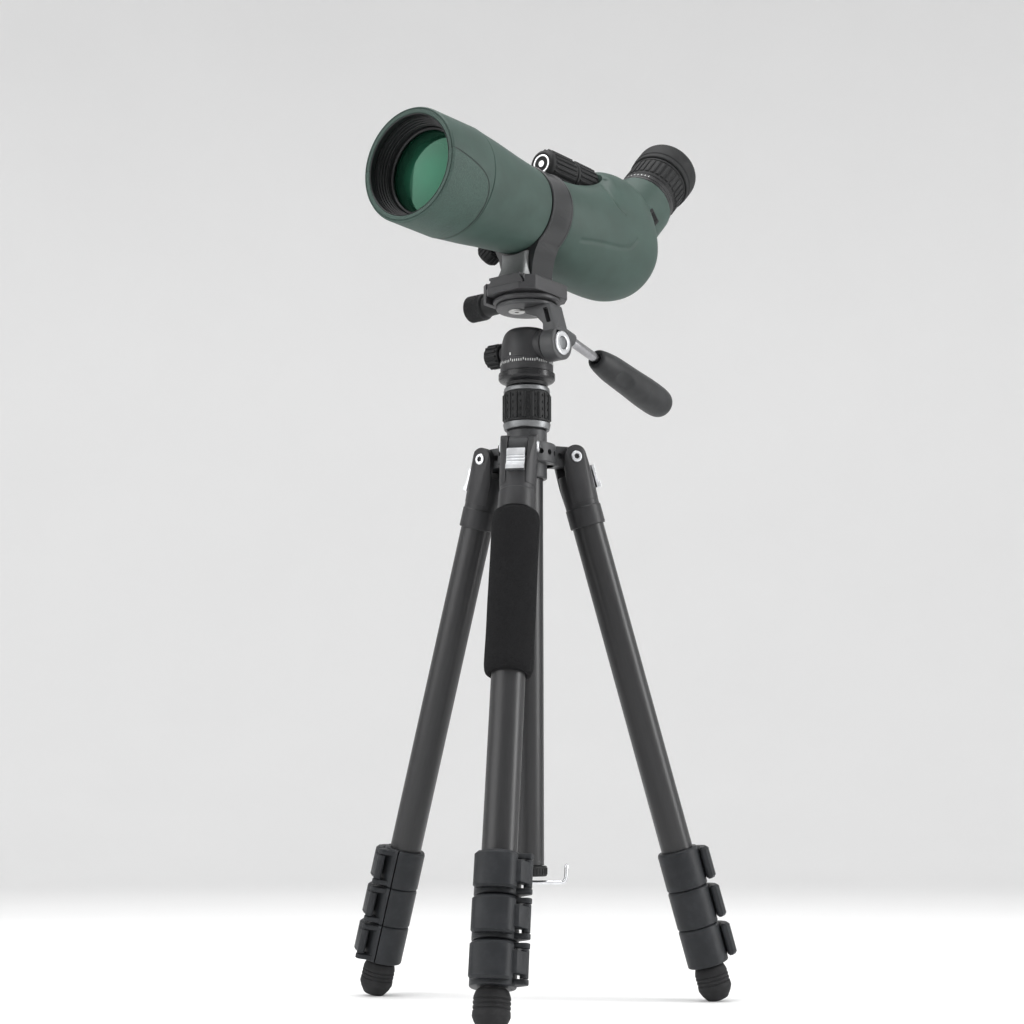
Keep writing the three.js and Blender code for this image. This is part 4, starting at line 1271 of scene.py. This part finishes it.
class FIELDSCOPE_OT_tilt_arm(PieceOperator, bpy.types.Operator):
    """Tilting arm with its disc, the axis cap, the pan handle rod and its grip"""

    bl_idname = "fieldscope.tilt_arm"
    bl_label = "Tilt Arm and Handle"

    def build(self, scope, tripod):
        casting = powder_coat("grey tilt coat", HOME, (0.05, 0.051, 0.053), 0.38)
        boss = moved(turned("boss", [(0, 21.2), (12.2, 21.2), (12.8, 21.8), (12.8, 33), (12.2, 33.6),
                                     (0, 33.6)], 0.3, 96), ON_TILT_AXIS)
        pin = moved(rod("pin", 4, 11, 24, 0, 48), ON_TILT_AXIS)
        web = pushed("web", [(21.2, 86), (33.6, 86), (33.6, 92), (27.4, 114), (3, 114), (5, 108.8),
                             (15, 105), (21.2, 98.5)], -8.5, 8.5)
        moved(web, ALONG_Y)
        bevelled(web, 1.2, 3)
        slot_cut = moved(pushed("slot", rounded([(25.4, 98.5), (29.4, 98.5), (25.8, 110.6),
                                                 (21.8, 110.6)], 1.2, 3), -12, 12), ALONG_Y)
        disc = turned("disc", [(0, 113.6), (22.6, 113.6), (23.5, 114.4), (23.5, 116.4),
                               (22.9, 117.1), (0, 117.1)], 0.3, 96)
        hub = moved(turned("hub", [(0, -14), (5.7, -14), (5.7, 2.8), (5.2, 3.4), (0, 3.4)], 0.3, 48),
                    ON_HANDLE_AXIS)
        bore = moved(rod("bore", 4.05, -9, 5, 0, 48),
                     ON_HANDLE_AXIS)
        fused(boss, pin, web, disc, hub)
        carved(boss, bore, slot_cut)
        settle(boss, "tilt_arm_casting", HOME, casting, "tilt_head", ["tilt_arm"], crease=32)
        steel = bright_metal("bright turned steel", TILT, tripod.steel_colour, 0.2)
        cap = turned("cap", [(5.0, 33.4), (5.0, 34.6), (5.6, 35.0), (8.4, 35.0), (9.2, 34.4),
                             (9.2, 33.4)], 0.2, 64)
        core = turned("core", [(0, 33.4), (4.6, 33.4), (4.6, 34.2), (0, 34.4)], 0.2, 48)
        settle(cap, "tilt_axis_ring", TILT, steel, "tilt_head")
        dull = bright_metal("dull axis cap", TILT, (0.16, 0.165, 0.17), 0.36)
        settle(core, "tilt_axis_cap", TILT, dull, "tilt_head")
        screw = hex_bolt(6.4, 1.0, 1.8)
        place = HOME @ shift(-6.5, -4, 113.6) @ turn("X", 180)
        pale = bright_metal("pale camera screw", place, (0.55, 0.55, 0.54), 0.34)
        settle(screw, "clamp_centre_screw", place, pale, "tilt_head", flat=True)
        chrome = bright_metal("polished rod", HANDLE, (0.3, 0.3, 0.31), 0.14, "chrome", False)
        bar = rod("rod", 3.7, -8.6, 61, 0.4, 64)
        settle(bar, "handle_rod_chrome", HANDLE, chrome, "tilt_head", ["handle_rod"])
        rubber = moulded_rubber("black moulding handle", HANDLE, (0.024, 0.025, 0.026), 0.4)
        outline = curve_through([(8.2, 39), (9.6, 46), (10.9, 57), (11.4, 70), (11.9, 87),
                                 (12.6, 105), (12.5, 122), (11.2, 130.4), (8.4, 134.4)], 60)
        grip = turned("grip", [(4.05, 61), (4.05, 37), (7.2, 37), *outline, (4.6, 136), (0, 136),
                               (0, 61)], 0, 96)
        dish = turned("dish", [(0, -30), *arc(0, 0, 30, -88, 88, 40), (0, 30)], 0, 96)
        grip = carved(grip, moved(dish, turn("Z", -50) @ shift(0, 38.9, 67)))
        rounding = grip.modifiers.new("soft edges", "REMESH")
        rounding.mode = "VOXEL"
        rounding.voxel_size = 0.9
        soften = grip.modifiers.new("soften", "SMOOTH")
        soften.factor = 0.5
        soften.iterations = 4
        baked(grip)
        settle(grip, "handle_grip_rubber", HANDLE, rubber, "grip", ["handle_grip"], crease=60)


class FIELDSCOPE_OT_pan_head(PieceOperator, bpy.types.Operator):
    """Pan base, head body with its dial and index mark, and the ribbed pan lock knob"""

    bl_idname = "fieldscope.pan_head"
    bl_label = "Pan Head"

    def build(self, scope, tripod):
        black = turned_black("black anodised head", HOME, (0.008, 0.008, 0.009), 0.2)
        casting = powder_coat("black head coat", HOME, tripod.casting_colour, 0.42)
        rubber = moulded_rubber("black moulding head", PAN_LOCK, scope.rubber_colour, 0.5)
        paint = plain_paint("white marks head", HOME, (0.75, 0.76, 0.75))
        base = turned("base", [
            (0, 61.1), (5.1, 61.1), (5.1, 53), (15, 53), (15.8, 53.6), (16.6, 55.8), (20.6, 57.6),
            (21.6, 59), (21.6, 63.2), (21.2, 63.6), (18.2, 63.6), (18.2, 66.4), (0, 66.4)],
            0.35, 128)
        settle(base, "pan_base_metal", HOME, black, "column", ["pan_base"])
        crown = curve_through([(19.8, 75), (19.7, 80), (19.1, 87), (17.2, 93.6), (14.4, 96.9),
                               (12, 97.9)], 24)
        dome = turned("dome", [(0, 66.8), (18.6, 66.8), (18.6, 64), (20.2, 64), (20.2, 73.4),
                               (19.7, 74), *crown, (10, 98), (0, 98)], 0.15, 128)
        stub = moved(turned("stub", [(0, 4), (12.6, 4), (12.6, 20.2), (12, 20.8), (0, 20.8)],
                            0.3, 96), ON_TILT_AXIS)
        boss = moved(turned("boss", [(0, 10), (7, 10), (6.4, 22.4), (0, 22.4)], 0.3, 48), ON_PAN_LOCK)
        fused(dome, stub, boss)
        pin_hole = moved(rod("hole", 4.4, 10, 30, 0, 48),
                         ON_TILT_AXIS)
        lock_hole = moved(rod("hole", 3.4, 16, 30, 0, 48), ON_PAN_LOCK)
        carved(dome, pin_hole, lock_hole)
        settle(dome, "head_casting", HOME, casting, "pan_head", ["pan_head_body"], crease=32)
        unit = rib(0.34, 20.0, 20.32, 69.4, 71.6, 0.95, 0.04)
        marks = repeater().copies(unit, paint, tripod.dial_marks, Major_Every=6,
                                  Major_Size=1.012)
        settle(marks, "pan_dial_marks", HOME, paint, "pan_head")
        unit = rib(0.9, 19.6, 20.0, 74.8, 77.2, 0.9, 0.04)
        index = repeater().copies(unit, paint, 1, Start=-92.0)
        settle(index, "pan_index_mark", HOME, paint, "pan_head")
        knob = turned("knob", [(0, -6.2), (3, -6.2), (3, 0), (7.6, 0), (8.4, 0.8), (8.4, 12.6),
                               (7, 14), (0, 14)], 0.6, 64)
        settle(knob, "pan_knob_core", PAN_LOCK, rubber, "pan_lock", ["pan_lock_knob"])
        ribs = repeater().copies(rib(2.1, 7.6, 9.6, 0.4, 13.2, 0.72, 0.4), rubber, 14)
        settle(ribs, "pan_knob_ribs", PAN_LOCK, rubber, "pan_lock")


class FIELDSCOPE_OT_column(PieceOperator, bpy.types.Operator):
    """Twist lock, centre column and the weight hook"""

    bl_idname = "fieldscope.column"
    bl_label = "Centre Column"

    def build(self, scope, tripod):
        rubber = moulded_rubber("black moulding lock", HOME, scope.rubber_colour, 0.5)
        silver = bright_metal("satin lock rings", HOME, (0.22, 0.225, 0.23), 0.34)
        low = turned("low", [(14.65, 19.4), (16.6, 19.4), (17.2, 20), (18.2, 24.2), (17.4, 24.8),
                             (14.65, 24.8)], 0.3, 96)
        high = turned("high", [(14.65, 46.4), (14.65, 48.6), (17.4, 48.6), (17.8, 49.2),
                               (17.2, 51.8), (16.6, 52.4), (12.55, 52.4), (12.55, 46.4)], 0.3, 96)
        settle(joined("rings", [low, high]), "twist_lock_rings", HOME, silver, "twist_lock",
               ["column_twist_lock"])
        sleeve = turned("sleeve", [(14.7, 24.9), (17.2, 24.9), (17.6, 25.6), (17.6, 47.8),
                                   (17.2, 48.5), (14.7, 48.5)], 0.3, 96)
        settle(sleeve, "twist_lock_sleeve", HOME, rubber, "twist_lock")
        tall = repeater().copies(rib(3.1, 16.8, 18.55, 25.8, 47.6, 0.8, 0.4), rubber,
                                 tripod.twist_ribs)
        short = repeater().copies(rib(1.2, 16.8, 18.2, 26.6, 30.2, 0.8, 0.3), rubber,
                                  tripod.twist_ribs, Rows=4, Row_Rise=5.4, Row_Turn=0.0,
                                  Start=180 / tripod.twist_ribs)
        settle(joined("ribs", [tall, short]), "twist_lock_ribs", HOME, rubber, "twist_lock")
        tube = turned("tube", [
            (0, 48), (10.8, 48), (10.8, -304), (12.2, -304), (12.2, 52.6), (4.7, 52.6), (4.7, 60),
            (0, 60)], 0.3, 96)
        metal = satin_black("satin black column", HOME, tripod.tube_colour, roughness=0.34)
        settle(tube, "centre_column_tube", HOME, metal, "column", ["centre_column"])
        place = HOME @ turn("Z", HOOK_TURN)
        nut = turned("nut", [(0, -290), (10.3, -290), (10.3, -304.4), (13.6, -304.4),
                             (14.2, -305), (14.2, -311.4), (13.4, -312), (0, -312)], 0.4, 96)
        settle(nut, "hook_nut", place, rubber, "hook")
        ribs = repeater().copies(rib(1.5, 13.6, 14.6, -311.2, -305.2, 0.6, 0.3), rubber, 36)
        settle(ribs, "hook_nut_ribs", place, rubber, "hook")
        bend = curve_through([(0, 0, -310), (0, 0, -314), (1, 0, -315.6), (4, 0, -316.4),
                              (14, 0, -316.4), (23.5, 0, -316.4), (26.9, 0, -315.4),
                              (28.1, 0, -312), (28.5, 0, -304.5)], 72)
        chrome = bright_metal("polished hook", place, (0.8, 0.81, 0.83), 0.1, "chrome")
        settle(swept("hook", bend, 1.5), "hook_wire", place, chrome, "hook", ["weight_hook"])


def hinge_cheek(way):
    """One cheek of the leg hinge: a flat plate that swells into the round casting."""
    cheek = pushed("cheek", [(-13.2, -34), (13.2, -34), *arc(0, 0, 9, 0, 180, 24)], 7.55, 13.3)
    moved(cheek, Matrix(((0, 0, way, 0), (way, 0, 0, 0), (0, 1, 0, 0), (0, 0, 0, 1))))
    outward(cheek)
    rounding = turned("rounding", [(0, -34), (13.3, -34), (14.4, -10), (15.6, 9.2), (0, 9.2)],
                      0, 96)
    return bevelled(combined(cheek, rounding, "INTERSECT"), 0.9, 3, 40)


class FIELDSCOPE_OT_spider(PieceOperator, bpy.types.Operator):
    """Spider that carries the legs and guides the column"""

    bl_idname = "fieldscope.spider"
    bl_label = "Spider"

    def build(self, scope, tripod):
        casting = powder_coat("black spider coat", HOME, (0.04, 0.041, 0.043), 0.4)
        core = turned("core", [
            (0, -18), (14.6, -18), (15.2, -17.4), (15.2, -7), (21.4, -7), (22, -6.4), (22, 7.4),
            (21.4, 8), (15.2, 8), (15.2, 18.4), (14.3, 19), (14.3, 46), (0, 46)], 0.35, 96)
        for angle in LEGS.values():
            arm = pushed("arm", [(-7.2, 0), (7.2, 0), (7.2, PIVOT_OUT), (-7.2, PIVOT_OUT)], -7, 8)
            eye = moved(rod("eye", 8, -7.2, 7.2, 0.3, 48),
                        shift(0, PIVOT_OUT, 0) @ turn("Y", 90))
            fused(arm, eye)
            hole = moved(rod("hole", 3.35, -9, 9),
                         shift(0, PIVOT_OUT, 0) @ turn("Y", 90))
            carved(arm, hole)
            for side in (-1, 1):
                drill = moved(rod("drill", 2.3, -4, 4),
                              shift(side * 7.2, 24.4, 0.6) @ turn("Y", 90))
                carved(arm, drill)
            fused(core, moved(arm, turn("Z", angle)))
        for angle in LEGS.values():
            for step in (38, 60, 82):
                drill = moved(rod("drill", 2.2, 18, 26),
                              turn("Z", angle + 90 + step) @ shift(0, 0, 0.6) @ turn("Y", 90))
                carved(core, drill)
        carved(core, rod("bore", 12.55, -30, 60, 0, 96))
        bevelled(core, 0.4, 2, 45)
        settle(core, "spider_casting", HOME, casting, "spider", ["spider"], crease=36)


LOCK_TOP = -306
LOCK_HEIGHT = 29.4
LEVER_PIN = (-20.8, 4)
TUBE_RADII = (12, 10.4, 8.85, 7.3)
TUBE_TOPS = (-20.5, -40, -46, -52)


def lock_collar(level):
    """The moulded collar at the end of one leg section, with the two lever lugs."""
    top = LOCK_TOP - LOCK_HEIGHT * level
    bottom = top - LOCK_HEIGHT + 0.4
    bore = TUBE_RADII[level + 1] + 0.35
    collar = turned("collar", [
        (bore, top), (14.4, top), (15.2, top - 0.9), (15.6, top - 2.2), (15.6, bottom + 0.8),
        (15.0, bottom), (bore, bottom)], 0.3, 96)
    middle = (top + bottom) / 2
    lug = [(-14.2, -4), *arc(LEVER_PIN[0], LEVER_PIN[1], 3.2, 250, 90, 10), (-13.4, 7.4)]
    for z in (middle - 11.6, middle + 11.6):
        fused(collar, bevelled(pushed("lug", lug, z - 1.8, z + 1.8), 0.5, 2))
    split = brick("split", -20, -12, -0.5, 0.5, bottom - 1, top + 1)
    return carved(collar, moved(split, turn("Z", 24)))


def flip_lever(level):
    """One faceted flip lever with its hinge barrel."""
    middle = LOCK_TOP - LOCK_HEIGHT * (level + 0.5) + 0.2
    plate = pushed("plate", [(-15.6, 12), (-13.4, 18.6), (-9, 21.6), (-2, 22.5), (5, 22.5),
                             (11.4, 20.6), (14.4, 15), *arc(0, 0, 16.15, 48, 140, 16)],
                   middle - 12, middle + 12)
    bevelled(plate, 1.9, 1, 24)
    arm = pushed("arm", [(-23.2, 5.6), (-17.6, 14.6), (-12, 15.4), (-13, 9.6), (-17.8, 3.4)],
                 middle - 7.4, middle + 7.4)
    barrel = moved(rod("barrel", 2.9, -9.2, 9.2, 0.4, 32),
                   shift(*LEVER_PIN, middle))
    fused(plate, bevelled(arm, 0.8, 2), barrel)
    room = rod("room", 15.95, middle - 15, middle + 15, 0, 96)
    return carved(plate, room)


class FIELDSCOPE_OT_legs(PieceOperator, bpy.types.Operator):
    """Three folding legs with castings, stops, tubes, flip locks and feet"""

    bl_idname = "fieldscope.legs"
    bl_label = "Legs"

    def build(self, scope, tripod):
        for side in LEGS:
            self.build_leg(side, tripod)

    def build_leg(self, side, tripod):
        place = leg_place(side)
        casting = powder_coat(f"black {side} casting coat", place, tripod.casting_colour, 0.4)
        metal = satin_black(f"satin black {side} tube", place, tripod.tube_colour,
                            roughness=0.33)
        plastic = moulded_rubber(f"black nylon {side}", place, (0.02, 0.0215, 0.024), 0.4)
        rubber = moulded_rubber(f"black rubber {side} foot", place, (0.02, 0.02, 0.021), 0.7)
        steel = bright_metal(f"bright steel {side}", place, tripod.steel_colour, 0.24)
        body = f"{side}_leg"
        cuff = turned("cuff", [
            (12.35, -53), (13.2, -53), (13.6, -52.4), (13.6, -38.4), (13.0, -37.8), (13.0, -20),
            (12.4, -12.4), (0, -12.4), (0, -20.1), (12.35, -20.1)], 0.3, 96)
        fused(cuff, hinge_cheek(-1), hinge_cheek(1))
        bore = rod("bore", 12.35, -60, -20.1, 0, 96)
        carved(cuff, bore, brick("pocket", -7.2, 7.2, 12.8, 20, -26.4, -8))
        pin = moved(rod("pin", 3, -12.4, 12.4),
                    turn("Y", 90))
        fused(cuff, pin)
        settle(cuff, f"{side}_casting_body", place, casting, body, [f"{side}_leg_casting"],
               crease=36)
        bolts = []
        for way in (-90, 90):
            bolts.append(moved(hex_bolt(4.3, 1.5), turn("Y", way) @ shift(0, 0, 13.2)))
        settle(joined("bolts", bolts), f"{side}_hinge_bolts", place, steel, body, flat=True)
        tab = brick("tab", -6.8, 6.8, 13.1, 15.4, -25, -8.4)
        fused(tab, brick("thumb", -6.8, 6.8, 13.1, 17, -26, -22),
              brick("tongue", -5, 5, 8.8, 13.6, -11.8, -9))
        grooves = [brick("groove", -7.5, 7.5, 14.9, 16.5, z - 0.4, z + 0.4)
                   for z in (-14.4, -16.8, -19.2)]
        carved(tab, *grooves)
        bevelled(tab, 0.35, 2, 40)
        settle(tab, f"{side}_stop_plate", place, steel, f"{side}_stop",
               [f"{side}_angle_stop"], flat=True)
        for level in range(4):
            self.build_section(side, level, place, metal, plastic, rubber)
        if side == "front":
            self.build_foam(place, tripod)

    def build_section(self, side, level, place, metal, plastic, rubber):
        body = f"{side}_leg" if level == 0 else f"{side}_section_{level + 1}"
        outer = TUBE_RADII[level]
        top = TUBE_TOPS[level]
        end = LOCK_TOP - LOCK_HEIGHT * level - (1.2 if level < 3 else 6)
        tube = turned("tube", [(outer - 1.2, top), (outer, top), (outer, end),
                               (outer - 1.2, end)], 0.25, 72)
        settle(tube, f"{side}_tube_{level + 1}", place, metal, body,
               [f"{side}_leg_section_{level + 1}"])
        if level < 3:
            settle(lock_collar(level), f"{side}_lock_collar_{level + 1}", place, plastic, body,
                   crease=32)
            settle(flip_lever(level), f"{side}_flip_lever_{level + 1}", place, plastic,
                   f"{side}_lever_{level + 1}", [f"{side}_lock_lever_{level + 1}"], crease=24)
            return
        start = LOCK_TOP - LOCK_HEIGHT * 3
        grooves = []
        for drop in (7, 10, 13):
            grooves += [(12.4, start - drop), (11.6, start - drop - 0.4),
                        (11.6, start - drop - 1.0), (12.4, start - drop - 1.4)]
        foot = turned("foot", [
            (0, start - 0.6), (9.6, start - 0.6), (11, start - 2), (12, start - 5), *grooves,
            (12.6, start - 18), (11, start - 21.6), (8, start - 26), (4, start - 27.3),
            (0, start - 27.6)], 0.5, 72)
        settle(foot, f"{side}_rubber_foot", place, rubber, body)

    def build_foam(self, place, tripod):
        outer = curve_through([(17.0, -57), (17.5, -64), (17.35, -90), (17.45, -122),
                               (17.3, -148), (17.5, -170), (17.0, -176)], 70)
        sleeve = turned("sleeve", [(12.35, -54), (14.6, -54), (16.2, -54.9), *outer,
                                   (16.2, -178.1), (14.6, -179), (12.35, -179)], 0.5, 96)
        foam = foam_rubber("closed cell foam", place, tripod.foam_colour)
        settle(sleeve, "front_foam_sleeve", place, foam, "front_leg", ["foam_grip"], crease=60)


# ------------------------------------------------------------------ the stage
def softbox(name, place, aim, size, power):
    lamp = bpy.data.lights.new(name, "AREA")
    lamp.shape = "RECTANGLE"
    lamp.size, lamp.size_y = size
    lamp.energy = power
    obj = bpy.data.objects.new(name, lamp)
    bpy.context.scene.collection.objects.link(obj)
    obj.location = place
    obj.rotation_euler = (Vector(aim) - Vector(place)).to_track_quat("-Z", "Y").to_euler()
    return obj


class FIELDSCOPE_OT_stage(bpy.types.Operator):
    """Camera, soft light and a pale seamless floor"""

    bl_idname = "fieldscope.stage"
    bl_label = "Stage"
    bl_options = {"REGISTER", "UNDO"}

    def execute(self, context):
        look = context.scene.field_stage
        centre = Vector((PIVOT_LEVEL.x, PIVOT_LEVEL.y, 0))
        away = Vector((math.sin(look.azimuth), -math.cos(look.azimuth), 0))
        right = Vector((math.cos(look.azimuth), math.sin(look.azimuth), 0))
        camera = bpy.data.cameras.new("photo angle")
        camera.lens = look.lens
        camera.sensor_width = 36
        camera.clip_end = 50
        viewer = bpy.data.objects.new("photo angle", camera)
        context.scene.collection.objects.link(viewer)
        viewer.location = centre + away * look.back + right * look.aside
        viewer.location.z = look.height
        viewer.rotation_euler = (math.pi / 2 + look.pitch, 0, look.azimuth)
        context.scene.camera = viewer
        flat, curve, wall, around = 2.4, 1.4, 6.0, 96
        bend = [math.pi / 32 * i for i in range(1, 17)]
        profile = [(flat, 0.0), *[(flat + curve * math.sin(a), curve - curve * math.cos(a))
                                  for a in bend], (flat + curve, wall)]
        verts = [centre]
        for out, up in profile:
            for i in range(around):
                t = 2 * math.pi * i / around
                verts.append(centre + Vector((out * math.cos(t), out * math.sin(t), up)))
        faces = [[0, 1 + i, 1 + (i + 1) % around] for i in range(around)]
        for row in range(len(profile) - 1):
            for i in range(around):
                a, b = 1 + row * around, 1 + (row + 1) * around
                j = (i + 1) % around
                faces.append([a + i, b + i, b + j, a + j])
        sweep = new_object("seamless_floor", verts, faces)
        for face in sweep.data.polygons:
            face.use_smooth = True
        paper = Finish("pale paper", "", Roughness=0.9, Specular_IOR_Level=0.1,
                       Emission_Color=(1, 1, 1, 1), Emission_Strength=look.paper_glow)
        at = paper.add("ShaderNodeTexCoord", output=3)
        paper.feed("Base Color", paper.blend(paper.noise(at, 3.0), (0.82, 0.82, 0.82, 1),
                                             (0.85, 0.85, 0.85, 1)))
        sweep.data.materials.append(paper.material)
        middle = centre + Vector((0, 0, 0.42))
        softbox("overhead", centre + away * 0.2 - right * 0.2 + Vector((0, 0, 2.0)), middle,
                (1.4, 1.4), look.key_power * 1.5)
        softbox("key softbox", centre + away * 0.9 - right * 1.5 + Vector((0, 0, 0.9)), middle,
                (1.5, 1.6), look.key_power * 0.8)
        softbox("side strip", centre + away * 0.3 + right * 1.6 + Vector((0, 0, 0.8)), middle,
                (0.35, 1.8), look.key_power * 1.1)
        context.scene.view_settings.view_transform = "Standard"
        world = bpy.data.worlds.new("even room")
        world.use_nodes = True
        world.node_tree.nodes["Background"].inputs[0].default_value = (1, 1, 1, 1)
        world.node_tree.nodes["Background"].inputs[1].default_value = look.room
        context.scene.world = world
        return {"FINISHED"}


PIECES = (
    FIELDSCOPE_OT_hood, FIELDSCOPE_OT_objective, FIELDSCOPE_OT_housing, FIELDSCOPE_OT_focus,
    FIELDSCOPE_OT_eyepiece, FIELDSCOPE_OT_internals, FIELDSCOPE_OT_collar,
    FIELDSCOPE_OT_clamp, FIELDSCOPE_OT_tilt_arm, FIELDSCOPE_OT_pan_head,
    FIELDSCOPE_OT_column, FIELDSCOPE_OT_spider, FIELDSCOPE_OT_legs,
)


class VIEW3D_PT_field_scope(bpy.types.Panel):
    bl_label = "Field Scope Kit"
    bl_idname = "VIEW3D_PT_field_scope"
    bl_space_type = "VIEW_3D"
    bl_region_type = "UI"
    bl_category = "Field Scope"

    def draw(self, context):
        column = self.layout.column()
        for title, group in (("Scope", context.scene.field_scope),
                             ("Tripod", context.scene.field_tripod),
                             ("Stage", context.scene.field_stage)):
            column.label(text=title)
            for name in group.bl_rna.properties.keys():
                if name not in ("rna_type", "name"):
                    column.prop(group, name)
        column.label(text="Build")
        for operator in (*PIECES, FIELDSCOPE_OT_stage):
            column.operator(operator.bl_idname)


CLASSES = (ScopeLook, TripodLook, StageLook, *PIECES, FIELDSCOPE_OT_stage, VIEW3D_PT_field_scope)


def register():
    for item in CLASSES:
        bpy.utils.register_class(item)
    bpy.types.Scene.field_scope = PointerProperty(type=ScopeLook)
    bpy.types.Scene.field_tripod = PointerProperty(type=TripodLook)
    bpy.types.Scene.field_stage = PointerProperty(type=StageLook)


def unregister():
    del bpy.types.Scene.field_stage
    del bpy.types.Scene.field_tripod
    del bpy.types.Scene.field_scope
    for item in reversed(CLASSES):
        bpy.utils.unregister_class(item)


def main():
    register()
    for operator in (FIELDSCOPE_OT_stage, *PIECES):
        group, name = operator.bl_idname.split(".")
        result = getattr(getattr(bpy.ops, group), name)()
        if result != {"FINISHED"}:
            raise RuntimeError(f"{operator.bl_label} did not finish")


if __name__ == "__main__":
    main()
